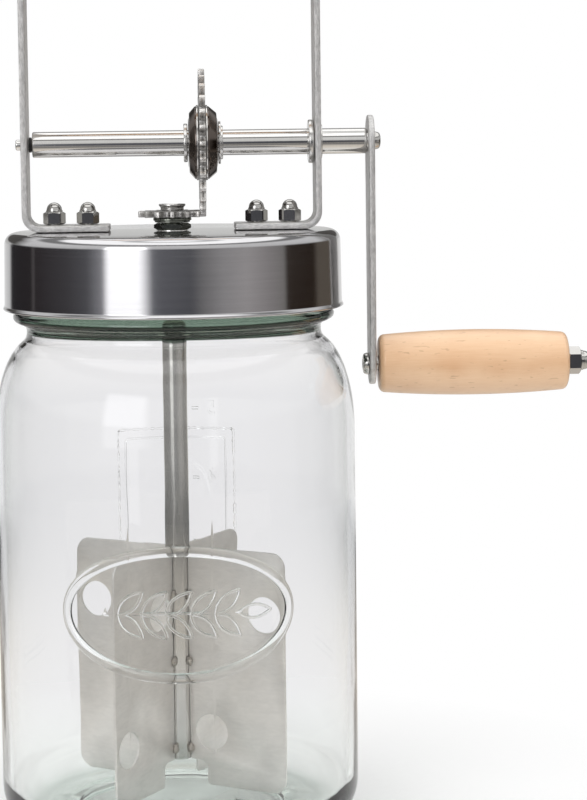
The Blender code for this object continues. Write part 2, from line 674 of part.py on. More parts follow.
def make_top_grip(parts, tools, lid, wood, steel):
    """The grip between the uprights, on a rod with a cap nut at each end."""
    across = (0, QUARTER_TURN, 0)
    height = (0, 0, TOP_GRIP_HEIGHT)
    start = SEAT_GAP - BRACKET_INNER_FACE
    grip = turned("top_grip", grip_outline(start, -2 * start), GRIP_STEPS, parts)
    place(grip, lid, height, across, wood)
    nut_face = BRACKET_REACH + SEAT_GAP
    rod_end = nut_face + GRIP_NUT_HEIGHT * NUT_BORE_SHARE - SEAT_GAP
    outline = [(0, rod_end), (GRIP_ROD_RADIUS, rod_end), (GRIP_ROD_RADIUS, -rod_end), (0, -rod_end)]
    rod = turned("top_rod", outline, SMALL_STEPS, parts)
    place(rod, lid, height, across, steel)
    for name, side in (("left", -1), ("right", 1)):
        make_cap_nut(
            f"top_nut_{name}", grip_nut_sizes(), lid, (side * nut_face, 0, TOP_GRIP_HEIGHT),
            (0, side * QUARTER_TURN, 0), parts, tools, steel,
        )


def make_axle(parts, tools, crank, steel):
    """The axle, with a thin journal at its left end and a flatted tenon for the crank arm."""
    shoulder = CRANK_ARM_OFFSET - SEAT_GAP
    tenon_end = CRANK_ARM_OUTER_FACE - SEAT_GAP
    outline = [
        (0, tenon_end),
        (TENON_RADIUS, tenon_end),
        (TENON_RADIUS, shoulder),
        (AXLE_RADIUS - AXLE_EDGE, shoulder),
        (AXLE_RADIUS, shoulder - AXLE_EDGE),
        (AXLE_RADIUS, -AXLE_LEFT_END + AXLE_EDGE),
        (AXLE_RADIUS - AXLE_EDGE, -AXLE_LEFT_END),
        (AXLE_JOURNAL_RADIUS, -AXLE_LEFT_END),
        (AXLE_JOURNAL_RADIUS, -BRACKET_REACH - AXLE_TIP),
        (0, -BRACKET_REACH - AXLE_TIP),
    ]
    axle = turned("crank_axle", outline, ROUND_STEPS, parts)
    place(axle, crank, rotation=(0, QUARTER_TURN, 0), material=steel)
    depth = CRANK_ARM_THICKNESS + CUT_OVERRUN
    for name, side in (("front", -1), ("back", 1)):
        outline = [
            (-TENON_RADIUS - CUT_OVERRUN, side * TENON_FLAT),
            (TENON_RADIUS + CUT_OVERRUN, side * TENON_FLAT),
            (TENON_RADIUS + CUT_OVERRUN, side * (TENON_RADIUS + CUT_OVERRUN)),
            (-TENON_RADIUS - CUT_OVERRUN, side * (TENON_RADIUS + CUT_OVERRUN)),
        ]
        flat = plate(f"tenon_flat_{name}", [outline], depth, tools)
        hide_tool(flat)
        place(flat, crank, (shoulder + depth / 2, 0, 0), (0, QUARTER_TURN, 0))
        combine(axle, flat, "DIFFERENCE")
    hole = cutter(
        "arm_screw_hole", ARM_SCREW_RADIUS + SEAT_GAP, ARM_SCREW_LENGTH + CUT_OVERRUN,
        crank, (tenon_end - ARM_SCREW_LENGTH, 0, 0), (0, QUARTER_TURN, 0), tools,
    )
    combine(axle, hole, "DIFFERENCE")


def make_gear(parts, crank, steel, dark_steel):
    """The drive gear, the bevelled hub half on each of its sides, and the washers outside."""
    across = (0, QUARTER_TURN, 0)
    bore = AXLE_RADIUS + SEAT_GAP
    rim = toothed_outline(
        GEAR_TEETH, GEAR_TIP_RADIUS, GEAR_ROOT_RADIUS, GEAR_GAP_RADIUS, GEAR_TIP_WIDTH
    )
    gear = plate("drive_gear", [rim, circle((0, 0), bore, ROUND_STEPS)], GEAR_THICKNESS, parts)
    place(gear, crank, (GEAR_PLANE, 0, 0), across, steel)

    halves = (
        ("left", HUB_LEFT_SEAT, HUB_LEFT_DEPTH, -1),
        ("right", HUB_RIGHT_SEAT, HUB_RIGHT_DEPTH, 1),
    )
    for name, seat, depth, side in halves:
        outline = [
            (bore, depth),
            (HUB_FACE_RADIUS / 2, depth),
            (HUB_FACE_RADIUS, depth - HUB_CROWN),
            (HUB_RIM_RADIUS, HUB_RIM_STEP),
            (HUB_RIM_RADIUS, 0),
            (bore, 0),
        ]
        hub = turned(f"gear_hub_{name}", outline, ROUND_STEPS, parts)
        place(hub, crank, (seat, 0, 0), (0, side * QUARTER_TURN, 0), dark_steel)

    left_washer = HUB_LEFT_SEAT - HUB_LEFT_DEPTH - SEAT_GAP - WASHER_LEFT_THICKNESS
    right_washer = HUB_RIGHT_SEAT + HUB_RIGHT_DEPTH + SEAT_GAP
    outline = ring_outline(bore, WASHER_LEFT_RADIUS, 0, WASHER_LEFT_THICKNESS)
    washer = turned("hub_washer_left", outline, ROUND_STEPS, parts)
    place(washer, crank, (left_washer, 0, 0), across, steel)
    outline = ring_outline(bore, WASHER_RIGHT_RADIUS, 0, WASHER_RIGHT_THICKNESS)
    washer = turned("hub_washer_right", outline, ROUND_STEPS, parts)
    place(washer, crank, (right_washer, 0, 0), across, steel)


def arm_outline():
    """The crank arm's edge: two round ends of unlike size and the tangents between them."""
    lean = math.asin((CRANK_ARM_TOP_RADIUS - CRANK_ARM_END_RADIUS) / CRANK_THROW)
    outline = arc((0, 0), CRANK_ARM_TOP_RADIUS, -lean, math.pi + lean, 13)
    outline += arc((0, -CRANK_THROW), CRANK_ARM_END_RADIUS, math.pi + lean, 2 * math.pi - lean, 11)
    return outline


def make_arm(parts, crank, steel):
    """The flat crank arm, with a flatted hole for the axle's tenon, and its domed screw."""
    hole_radius = TENON_RADIUS + SEAT_GAP
    flat = TENON_FLAT + SEAT_GAP
    reach = math.asin(flat / hole_radius)
    tenon_hole = arc((0, 0), hole_radius, -reach, reach, 5)
    tenon_hole += arc((0, 0), hole_radius, math.pi - reach, math.pi + reach, 5)
    bolt_hole = circle((0, -CRANK_THROW), GRIP_ROD_RADIUS + SEAT_GAP, SMALL_STEPS)
    turned_hole = [(y, -x) for x, y in tenon_hole]
    arm = plate("crank_arm", [arm_outline(), turned_hole, bolt_hole], CRANK_ARM_THICKNESS, parts)
    middle = CRANK_ARM_OFFSET + CRANK_ARM_THICKNESS / 2
    place(arm, crank, (middle, 0, 0), (QUARTER_TURN, 0, QUARTER_TURN), steel)

    head_start = CRANK_ARM_OUTER_FACE + SEAT_GAP
    head_end = head_start + ARM_SCREW_HEAD_THICKNESS
    screw_end = CRANK_ARM_OUTER_FACE - ARM_SCREW_LENGTH
    outline = [
        (0, head_end),
        (ARM_SCREW_HEAD_RADIUS / 2, head_end - ARM_SCREW_CROWN_SHARE * ARM_SCREW_HEAD_THICKNESS),
        (ARM_SCREW_HEAD_RADIUS, head_start + ARM_SCREW_EDGE_SHARE * ARM_SCREW_HEAD_THICKNESS),
        (ARM_SCREW_HEAD_RADIUS, head_start),
        (ARM_SCREW_RADIUS, head_start),
        (ARM_SCREW_RADIUS, screw_end),
        (0, screw_end),
    ]
    screw = turned("arm_screw", outline, SMALL_STEPS, parts)
    place(screw, crank, rotation=(0, QUARTER_TURN, 0), material=steel)


def make_crank_grip(parts, tools, crank, grip_axis, wood, steel):
    """The wooden grip, free to turn on its bolt, and the cap nut at the bolt's end."""
    across = (0, QUARTER_TURN, 0)
    grip = turned("crank_grip", grip_outline(GRIP_START, GRIP_LENGTH), GRIP_STEPS, parts)
    place(grip, grip_axis, rotation=across, material=wood)
    nut_face = GRIP_START + GRIP_LENGTH + SEAT_GAP
    bolt_end = nut_face + GRIP_NUT_HEIGHT * NUT_BORE_SHARE - SEAT_GAP
    head_seat = CRANK_ARM_OFFSET - SEAT_GAP
    head_end = head_seat - GRIP_BOLT_HEAD_THICKNESS
    outline = [
        (0, bolt_end),
        (GRIP_ROD_RADIUS, bolt_end),
        (GRIP_ROD_RADIUS, head_seat),
        (GRIP_BOLT_HEAD_RADIUS, head_seat),
        (GRIP_BOLT_HEAD_RADIUS, (head_seat + head_end) / 2),
        (GRIP_BOLT_HEAD_RADIUS - GRIP_BOLT_HEAD_THICKNESS / 2, head_end),
        (0, head_end),
    ]
    bolt = turned("grip_bolt", outline, SMALL_STEPS, parts)
    place(bolt, crank, (0, 0, -CRANK_THROW), across, steel)
    make_cap_nut(
        "grip_nut", grip_nut_sizes(), crank, (nut_face, 0, -CRANK_THROW), across,
        parts, tools, steel,
    )


def make_shaft(parts, dasher, steel):
    """The dasher's shaft, stepped for its bush and again for the pinion."""
    shaft_top = PINION_CAP_TOP - PINION_CAP_ROOF - SEAT_GAP
    collar = LID_UNDERSIDE - SHAFT_BUSH_FLANGE_THICKNESS - SEAT_GAP
    shaft_end = BLADE_NOTCH_HEIGHT - BLADE_BOTTOM_DROP
    outline = [
        (0, shaft_top),
        (SHAFT_TOP_RADIUS, shaft_top),
        (SHAFT_TOP_RADIUS, BUSH_NUT_TOP),
        (SHAFT_BUSH_JOURNAL_RADIUS, BUSH_NUT_TOP),
        (SHAFT_BUSH_JOURNAL_RADIUS, collar),
        (SHAFT_RADIUS, collar),
        (SHAFT_RADIUS, shaft_end + SHAFT_EDGE),
        (SHAFT_RADIUS - SHAFT_EDGE, shaft_end),
        (0, shaft_end),
    ]
    shaft = turned("dasher_shaft", outline, ROUND_STEPS, parts)
    place(shaft, dasher, material=steel)


def make_pinion(parts, dasher, steel, dark_steel):
    """The pinion, with a gap towards the gear's lowest tooth, its washer and its flared cap."""
    bore = SHAFT_TOP_RADIUS + SEAT_GAP
    rim = toothed_outline(
        PINION_TEETH, PINION_TIP_RADIUS, PINION_ROOT_RADIUS, PINION_GAP_RADIUS, PINION_TIP_WIDTH
    )
    outlines = [rim, circle((0, 0), bore, SMALL_STEPS)]
    pinion = plate("pinion", outlines, PINION_THICKNESS, parts)
    half_pitch = math.pi / PINION_TEETH
    place(pinion, dasher, (0, 0, PINION_HEIGHT), (0, 0, half_pitch), steel)

    outline = ring_outline(
        bore, PINION_WASHER_RADIUS, PINION_WASHER_BOTTOM, PINION_BOTTOM - SEAT_GAP
    )
    washer = turned("pinion_washer", outline, ROUND_STEPS, parts)
    place(washer, dasher, material=dark_steel)

    cap_bottom = PINION_TOP + SEAT_GAP
    roof = PINION_CAP_TOP - PINION_CAP_ROOF
    rim_bottom = PINION_CAP_TOP - PINION_CAP_RIM
    outline = [
        (0, PINION_CAP_TOP - PINION_CAP_DISH_DEPTH),
        (PINION_CAP_DISH_RADIUS, PINION_CAP_TOP - PINION_CAP_DISH_DEPTH),
        (PINION_CAP_DISH_RADIUS + PINION_CAP_DISH_DEPTH, PINION_CAP_TOP),
        (PINION_CAP_RIM_RADIUS, PINION_CAP_TOP),
        (PINION_CAP_RIM_RADIUS, rim_bottom),
        (PINION_CAP_NECK_RADIUS, (rim_bottom + cap_bottom) / 2),
        (PINION_CAP_NECK_RADIUS, cap_bottom),
        (bore, cap_bottom),
        (bore, roof),
        (0, roof),
    ]
    cap = turned("pinion_cap", outline, ROUND_STEPS, parts)
    place(cap, dasher, material=steel)


def blade_outlines(hole_places):
    """A blade seen from its side: X is the distance from the shaft's axis, Y is the height."""
    inner = SHAFT_RADIUS + SEAT_GAP
    outer = BLADE_REACH
    corner = BLADE_CORNER_RADIUS
    notch = inner + BLADE_NOTCH_WIDTH
    top = -BLADE_TOP_DROP
    bottom = -BLADE_BOTTOM_DROP
    outline = [(inner, top)]
    outline += arc((outer - corner, top - corner), corner, QUARTER_TURN, 0, 5)
    outline += arc((outer - corner, bottom + corner), corner, 0, -QUARTER_TURN, 5)
    outline += [(notch, bottom), (notch, bottom + BLADE_NOTCH_HEIGHT)]
    outline += [(inner, bottom + BLADE_NOTCH_HEIGHT)]
    holes = []
    for place_on_blade in hole_places:
        holes.append(circle(place_on_blade, BLADE_HOLE_RADIUS, ROUND_STEPS))
    return [outline, *holes]


def make_blades(parts, dasher, steel):
    """Four upright blades. Opposite blades are alike, and their neighbours' holes are swapped."""
    even = (
        (BLADE_OUTER_HOLE_REACH, BLADE_UPPER_HOLE),
        (BLADE_INNER_HOLE_REACH, BLADE_LOWER_HOLE),
    )
    odd = (
        (BLADE_INNER_HOLE_REACH, BLADE_UPPER_HOLE),
        (BLADE_OUTER_HOLE_REACH, BLADE_LOWER_HOLE),
    )
    for index in range(BLADE_COUNT):
        angle = BLADE_FIRST_ANGLE + index * 2 * math.pi / BLADE_COUNT
        outlines = blade_outlines(odd if index % 2 else even)
        blade = plate(f"blade_{index + 1}", outlines, BLADE_THICKNESS, parts)
        place(blade, dasher, rotation=(QUARTER_TURN, 0, angle), material=steel)


def build():
    for piece in list(bpy.data.objects):
        bpy.data.objects.remove(piece)
    parts = new_collection("butter_churn")
    tools = new_collection("cutters")

    glass = new_material("clear_glass", (0.9, 0.96, 0.93), 0.03, 0.0, 0.9)
    steel = new_material("stainless_steel", (0.7, 0.69, 0.67), 0.3, 1.0)
    polished = new_material("polished_steel", (0.78, 0.77, 0.75), 0.12, 1.0)
    dark_steel = new_material("dark_polished_steel", (0.25, 0.22, 0.2), 0.15, 1.0)
    wood = new_material("beech_wood", (0.83, 0.63, 0.42), 0.5, 0.0)
    rubber = new_material("seal_rubber", (0.85, 0.85, 0.83), 0.7, 0.0)
    plastic = new_material("white_plastic", (0.88, 0.88, 0.86), 0.4, 0.0)
    black = new_material("black_nylon", (0.03, 0.03, 0.03), 0.5, 0.0)

    jar = new_axis("jar_frame", parts)
    lid = new_axis("lid_frame", parts, jar, (0, 0, LID_TOP))
    crank = new_axis("crank_axis", parts, lid, (0, 0, AXLE_HEIGHT))
    grip_axis = new_axis("grip_axis", parts, crank, (0, 0, -CRANK_THROW))
    dasher = new_axis("dasher_axis", parts, lid)

    make_jar(parts, jar, glass)
    make_lid_shell(parts, tools, lid, polished)
    make_lid_rings(parts, lid, rubber, plastic)
    make_brackets(parts, tools, lid, steel)
    make_foot_fasteners(parts, tools, lid, polished)
    make_shaft_bush(parts, tools, lid, steel, dark_steel)
    make_axle_bearings(parts, lid, steel, black)
    make_top_grip(parts, tools, lid, wood, polished)
    make_axle(parts, tools, crank, polished)
    make_gear(parts, crank, steel, dark_steel)
    make_arm(parts, crank, steel)
    make_crank_grip(parts, tools, crank, grip_axis, wood, polished)
    make_shaft(parts, dasher, steel)
    make_pinion(parts, dasher, steel, dark_steel)
    make_blades(parts, dasher, steel)
    bpy.context.view_layer.update()


build()
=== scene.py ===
"""A hand-cranked butter churn: its finished pieces, their finishes, the floor, light and camera.

Metres, +Z up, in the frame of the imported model. The jar stands on the origin, the axle runs
along X with the crank at +X, and the photograph looks along +Y.
"""

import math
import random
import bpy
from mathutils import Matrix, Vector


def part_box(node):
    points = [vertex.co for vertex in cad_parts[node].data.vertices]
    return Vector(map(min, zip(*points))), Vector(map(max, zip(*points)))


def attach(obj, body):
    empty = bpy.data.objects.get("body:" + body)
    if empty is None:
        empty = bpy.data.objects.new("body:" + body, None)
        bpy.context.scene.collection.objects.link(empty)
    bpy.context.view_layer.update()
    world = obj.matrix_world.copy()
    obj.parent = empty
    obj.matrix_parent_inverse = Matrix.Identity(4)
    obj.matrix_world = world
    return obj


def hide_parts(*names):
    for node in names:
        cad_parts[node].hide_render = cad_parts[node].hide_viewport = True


bl_info = {
    "name": "Hand-Cranked Butter Churn",
    "version": (1, 0, 0),
    "blender": (4, 5, 0),
    "location": "3D View > Sidebar > Churn",
    "description": "Makes the finished pieces of a hand-cranked butter churn on its frame",
    "category": "Object",
}

import bmesh
import bpy
from bpy.props import FloatProperty, FloatVectorProperty, IntProperty, PointerProperty
from bpy.types import Operator, Panel, PropertyGroup
from mathutils import Matrix, Vector, noise

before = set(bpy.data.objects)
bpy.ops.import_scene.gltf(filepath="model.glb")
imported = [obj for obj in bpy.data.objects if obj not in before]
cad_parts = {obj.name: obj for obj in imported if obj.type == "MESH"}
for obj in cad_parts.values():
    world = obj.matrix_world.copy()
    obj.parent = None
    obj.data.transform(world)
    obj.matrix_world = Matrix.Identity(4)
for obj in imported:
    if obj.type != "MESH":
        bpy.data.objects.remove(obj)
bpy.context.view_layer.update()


def middle(solid, axis=2):
    """The middle of a solid along an axis."""
    return sum(corner[axis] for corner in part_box(solid)) / 2


QUARTER = math.pi / 2
TURN = 2 * math.pi
WELD = 1e-6  # points closer than this are one
GAP = 0.0003  # between a face on the axle or the shaft and its neighbour
LID_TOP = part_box("lid_shell")[1].z
AXLE_HEIGHT = middle("crank_axle")
GRIP_HEIGHT = middle("crank_grip")
TOP_GRIP_HEIGHT = middle("top_grip")
AXLE_BORE = 0.00555
GRIP_BORE = 0.0033
FEET = (1, 2, 3, 4)
FOOT_HOLE = 0.0028
GRIP_NUT = (0.0055, 0.0105, 0.0039, 0.0032)  # hexagon, whole height, dome's radius, bore
THREAD = {"Rise": 0.0062, "Turns": 1.6}
FLAT_BAR = {"depth": 0.00007, "shade": 0.45, "change": 0.12, "marks": 0.8, "mark_size": 260.0}
TURNED = {"fineness": 4200.0, "depth": 0.0000015, "shade": 0.07, "marks": 0.5, "mark_size": 180.0}
WHITE = (1, 1, 1)
FLOOR_SHEEN = (0.82, 0.76, 0.69)  # the floor, as polished steel reflects it
THROUGH_GLASS = (0.88, 0.86, 0.885)  # the backdrop, as it shows through the jar
FLAG_SHADE = (0.78, 0.77, 0.78)  # the dark flags, as they show through the jar


def length(label, about, default):
    return FloatProperty(name=label, description=about, default=default, min=0, unit="LENGTH")


def colour(label, about, default):
    return FloatVectorProperty(
        name=label, description=about, default=default, size=3, min=0, max=1, subtype="COLOR"
    )


# Settings

class JarSettings(PropertyGroup):
    wall: length("Wall", "Thickness of the jar's side wall", 0.0035)
    mouth_wall: length("Mouth Wall", "Thickness of the glass at the mouth", 0.00525)
    floor: length("Floor", "Thickness of the jar's floor", 0.007)
    heel_radius: length("Heel Radius", "Rounding between the wall and the base", 0.018)
    neck_radius: length("Neck Radius", "Radius of the groove under the bead", 0.0605)
    finish_radius: length("Finish Radius", "Radius of the glass behind the lid's skirt", 0.0622)
    shoulder_height: length("Shoulder Height", "Height of the curve from wall to neck", 0.038)
    thread_ridge: length("Thread Ridge", "Half width of the raised thread", 0.0012)
    oval_width: length("Oval Width", "Width of the raised oval on the front", 0.0925)
    oval_height: length("Oval Height", "Height of the raised oval on the front", 0.0495)
    oval_place: length("Oval Place", "Height of the oval's middle above the base", 0.1008)
    relief_line: length("Relief Line", "Half width of the finer raised lines", 0.0006)
    tint: colour("Tint", "What is left of white light after a long way through glass",
                 (0.5, 0.86, 0.68))


class LidSettings(PropertyGroup):
    sheet: length("Sheet", "Thickness of the lid's steel", 0.0008)
    edge_radius: length("Edge Radius", "Rounding between the top and the skirt", 0.0045)
    rolled_edge: length("Rolled Edge", "Radius of the rolled lower edge", 0.0006)
    steel: colour("Steel", "Colour of the lid's steel", (0.6, 0.595, 0.605))


class UprightSettings(PropertyGroup):
    bend_radius: length("Bend Radius", "Outer radius of the bend at the foot", 0.007)
    edge: length("Edge", "Rounding of the bar's edges", 0.0004)
    steel: colour("Steel", "Colour of the flat bars", (0.94, 0.93, 0.915))


class FastenerSettings(PropertyGroup):
    foot_flats: length("Foot Nut Flats", "Width across the flats of the foot nuts", 0.008)
    grip_flats: length("Grip Nut Flats", "Width across the flats of the grip nuts", 0.01)
    turn_seed: IntProperty(
        name="Turn Seed", description="Chooses how each nut came to rest", default=6, min=0
    )
    steel: colour("Steel", "Colour of the polished fasteners", (0.74, 0.73, 0.71))


class WheelSettings(PropertyGroup):
    wheel_teeth: IntProperty(
        name="Wheel Teeth", description="Teeth on the drive wheel", default=28, min=6
    )
    small_teeth: IntProperty(
        name="Small Gear Teeth", description="Teeth on the small gear", default=14, min=6
    )
    wheel_depth: length("Wheel Tooth Depth", "Depth of the drive wheel's teeth", 0.005)
    small_depth: length("Small Gear Tooth Depth", "Depth of the small gear's teeth", 0.0041)
    wheel_gap: length("Wheel Gap Radius", "Radius of the drive wheel's gaps", 0.0019)
    small_gap: length("Small Gear Gap Radius", "Radius of the small gear's gaps", 0.0018)
    tip_width: length("Tip Width", "Width of a tooth's tip", 0.0016)
    steel: colour("Steel", "Colour of the stamped gears", (0.84, 0.82, 0.79))
    dark_steel: colour("Dark Steel", "Colour of the dark polished hub", (0.12, 0.1, 0.088))


class CrankSettings(PropertyGroup):
    top_radius: length("Top Radius", "Radius of the bar's end at the axle", 0.0105)
    end_radius: length("End Radius", "Radius of the bar's end at the grip", 0.0085)
    grip_end: length("Grip End Radius", "Radius of the wooden grip at its ends", 0.012)
    grip_swell: length("Grip Swell", "How much thicker the grip is at its middle", 0.0015)
    grip_edge: length("Grip Edge", "Rounding of the grip's ends", 0.0025)
    beech: colour("Beech", "Colour of the pale wood", (0.79, 0.53, 0.32))
    beech_dark: colour("Dark Beech", "Colour of the darker grain", (0.62, 0.34, 0.165))


class DasherSettings(PropertyGroup):
    corner: length("Corner", "Rounding of the blades' corners", 0.006)
    hole_radius: length("Hole Radius", "Radius of the holes in the blades", 0.0075)
    notch_width: length("Notch Width", "Width of the notch at the shaft's end", 0.008)
    notch_height: length("Notch Height", "Height of the notch at the shaft's end", 0.01)
    bead_radius: length("Bead Radius", "Radius of a weld bead", 0.0012)
    steel: colour("Steel", "Colour of the blades' sheet", (0.95, 0.925, 0.9))


class StageSettings(PropertyGroup):
    floor_radius: length("Floor Radius", "Radius of the pale floor", 0.9)
    lens: FloatProperty(
        name="Lens", description="Focal length in millimetres", default=109.5, min=20, max=300
    )
    distance: length("Distance", "Distance of the camera from the jar's axis", 1.0)
    height: length("Height", "Height of the camera above the floor", 0.29)
    aim: FloatVectorProperty(
        name="Aim", description="The camera's tilt, roll and turn", subtype="EULER",
        default=tuple(map(math.radians, (85.53, 0.75, -1.94))),
    )
    key_power: FloatProperty(
        name="Key Power", description="Power of the main lamp", default=15, min=0, unit="POWER"
    )


# Outlines and meshes

def arc(centre, radius, start, end, count):
    """Points on an arc between two angles in degrees. The radius may be one for each axis."""
    across, up = radius if isinstance(radius, tuple) else (radius, radius)
    points = []
    for step in range(count):
        angle = math.radians(start + (end - start) * step / (count - 1))
        points.append((centre[0] + across * math.cos(angle), centre[1] + up * math.sin(angle)))
    return points


def circle(centre, radius, count=64):
    return arc(centre, radius, 0, 360, count + 1)[:-1]


def flatted(radius, half_width):
    """A round outline about the origin with two flats across Y, for the crank's tenon."""
    lean = math.degrees(math.asin(half_width / radius))
    sides = arc((0, 0), radius, -lean, lean, 12) + arc((0, 0), radius, 180 - lean, 180 + lean, 12)
    return [(y, x) for x, y in sides]


def rounded(corners, closed=True, steps=5):
    """An outline with its corners rounded. A corner is (x, y), or (x, y, radius)."""
    points = []
    count = len(corners)
    for index, (x, y, *radius) in enumerate(corners):
        here = Vector((x, y))
        if not radius or radius[0] == 0 or (index in (0, count - 1) and not closed):
            points.append(tuple(here))
            continue
        back = Vector(corners[index - 1][:2]) - here
        ahead = Vector(corners[(index + 1) % count][:2]) - here
        half = back.angle(ahead) / 2
        reach = min(radius[0] / math.tan(half), 0.49 * back.length, 0.49 * ahead.length)
        inwards = (back.normalized() + ahead.normalized()).normalized()
        centre = here + inwards * reach / math.cos(half)
        first = here + back.normalized() * reach - centre
        last = here + ahead.normalized() * reach - centre
        start = math.atan2(first.y, first.x)
        sweep = math.atan2(first.x * last.y - first.y * last.x, first.dot(last))
        for step in range(steps + 1):
            angle = start + sweep * step / steps
            points.append((centre.x + first.length * math.cos(angle),
                           centre.y + first.length * math.sin(angle)))
    return points


def post(radius, low, high):
    """The half section of a plain round post or disc."""
    return [(0, high), (radius, high), (radius, low), (0, low)]


def ring(bore, radius, low, high, bore_edge, edge):
    """The section of a plain ring with softened corners."""
    return rounded([(bore, high, bore_edge), (radius, high, edge), (radius, low, edge),
                    (bore, low, bore_edge)], steps=3)


def raised(height):
    return Matrix.Translation((0, 0, height))


def facing_x(x, height, side=1):
    """A place where a turned body's axis points along X, or against it."""
    return Matrix.Translation((x, 0, height)) @ Matrix.Rotation(side * QUARTER, 4, "Y")


def placed(name, data):
    thing = bpy.data.objects.new(name, data)
    bpy.context.scene.collection.objects.link(thing)
    return thing


def new_piece(name, mesh, sharp=28):
    """Puts a mesh in the scene, smooth but for its sharp edges."""
    mesh.shade_smooth()
    mesh.set_sharp_from_angle(angle=math.radians(sharp))
    mesh.name = name
    return placed(name, mesh)


def from_bmesh(name, body, place=Matrix(), sharp=28):
    bmesh.ops.remove_doubles(body, verts=body.verts, dist=WELD)
    bmesh.ops.recalc_face_normals(body, faces=body.faces)
    mesh = bpy.data.meshes.new(name)
    body.to_mesh(mesh)
    body.free()
    mesh.transform(place)
    return new_piece(name, mesh, sharp)


def evaluated(source, name, place=Matrix(), sharp=28):
    """Turns an object with its modifiers, or a curve, into a plain closed mesh in its place."""
    graph = bpy.context.evaluated_depsgraph_get()
    mesh = bpy.data.meshes.new_from_object(source.evaluated_get(graph))
    mesh.transform(source.matrix_world)
    bpy.data.objects.remove(source)
    body = bmesh.new()
    body.from_mesh(mesh)
    bpy.data.meshes.remove(mesh)
    return from_bmesh(name, body, place, sharp)


def turned(name, outline, steps=96, flats=None, place=Matrix(), sharp=28):
    """A turned body from its half section, given as radius and height.

    An outline that starts on the axis stays open there. With flats, what lies inside the
    hexagon's corners is trimmed to the hexagon, the way a nut's chamfered blank is.
    """
    body = bmesh.new()
    rim = [body.verts.new((radius, 0, height)) for radius, height in outline]
    edges = [body.edges.new(pair) for pair in zip(rim, rim[1:])]
    if outline[0][0] > 0:
        edges.append(body.edges.new((rim[-1], rim[0])))
    bmesh.ops.spin(body, geom=rim + edges, cent=(0, 0, 0), axis=(0, 0, 1), angle=TURN,
                   steps=steps, use_merge=True)
    if flats:
        side = math.pi / 3
        for vertex in body.verts:
            reach = vertex.co.xy.length
            if WELD <= reach <= flats / math.sqrt(3) + WELD:
                turn = (math.atan2(vertex.co.y, vertex.co.x) + side / 2) % side - side / 2
                limit = flats / 2 / math.cos(turn)
                if reach > limit:
                    vertex.co.xy *= limit / reach
    return from_bmesh(name, body, place, sharp)


def plate(name, outlines, thickness, edge, place=Matrix()):
    """A flat plate with rounded edges. The outlines after the first are its holes."""
    curve = bpy.data.curves.new(name, "CURVE")
    curve.dimensions = "2D"
    curve.fill_mode = "BOTH"
    curve.extrude = thickness / 2 - edge
    curve.bevel_depth = edge
    curve.bevel_resolution = 2
    curve.offset = -edge
    for outline in outlines:
        add_loop(curve, [(*point, 0) for point in outline])
    return evaluated(placed(name, curve), name, place)


def add_loop(curve, points):
    spline = curve.splines.new("POLY")
    spline.points.add(len(points) - 1)
    spline.use_cyclic_u = True
    for point, place in zip(spline.points, points):
        point.co = (*place, 1)
    return spline.points


def joined(name, pieces, sharp=28):
    """One mesh from several, which are removed."""
    body = bmesh.new()
    for piece in pieces:
        body.from_mesh(piece.data)
        bpy.data.objects.remove(piece)
    mesh = bpy.data.meshes.new(name)
    body.to_mesh(mesh)
    body.free()
    return new_piece(name, mesh, sharp)


def combined(piece, tool, operation, sharp=28):
    """Cuts a piece with another, or joins them into one body."""
    step = piece.modifiers.new(operation.title(), "BOOLEAN")
    step.operation = operation
    step.solver = "EXACT"
    step.use_self = operation == "UNION"
    step.object = tool
    name = piece.name
    made = evaluated(piece, name, sharp=sharp)
    bpy.data.objects.remove(tool)
    made.name = name
    return made


def softened(piece, width):
    """Rounds a piece's sharp edges a little, as stamping and tumbling leave them."""
    step = piece.modifiers.new("Bevel", "BEVEL")
    step.width = width
    step.segments = 2
    step.limit_method = "ANGLE"
    step.angle_limit = math.radians(35)
    return evaluated(piece, piece.name, sharp=32)


def dressed(piece, material, body, slot, *nodes):
    """Gives a finished piece its finish, its body and the solids that it stands for."""
    piece.data.materials.clear()
    piece.data.materials.append(material)
    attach(piece, body)
    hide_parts(*nodes)
    return piece


# Node trees

def reckoned(operation, flipped=False):
    """A sum of two values, as a maths node in the first one's tree."""
    def total(first, second):
        pair = (second, first) if flipped else (first, second)
        return first.tree.maths(operation, *pair)
    return total


class Wire:
    """A node's output. Sums with it are written as they are read."""
    __add__, __radd__ = reckoned("ADD"), reckoned("ADD", True)
    __sub__, __rsub__ = reckoned("SUBTRACT"), reckoned("SUBTRACT", True)
    __mul__, __rmul__ = reckoned("MULTIPLY"), reckoned("MULTIPLY", True)
    __truediv__, __rtruediv__ = reckoned("DIVIDE"), reckoned("DIVIDE", True)

    def __init__(self, tree, socket):
        self.tree = tree
        self.socket = socket

    def __getitem__(self, key):
        """Another output of the same node."""
        return Wire(self.tree, self.socket.node.outputs[key])

    def split(self):
        parts = self.tree("ShaderNodeSeparateXYZ", self)
        return parts[0], parts[1], parts[2]

    def spread(self, low, high, to_low=0.0, to_high=1.0):
        """Stretches the values between two marks to another range, and clamps the rest."""
        return self.tree("ShaderNodeMapRange", self, low, high, to_low, to_high)

    def window(self, start, full, fading, end):
        """One between two marks, and nothing beyond them."""
        return self.spread(start, full) * self.spread(end, fading)


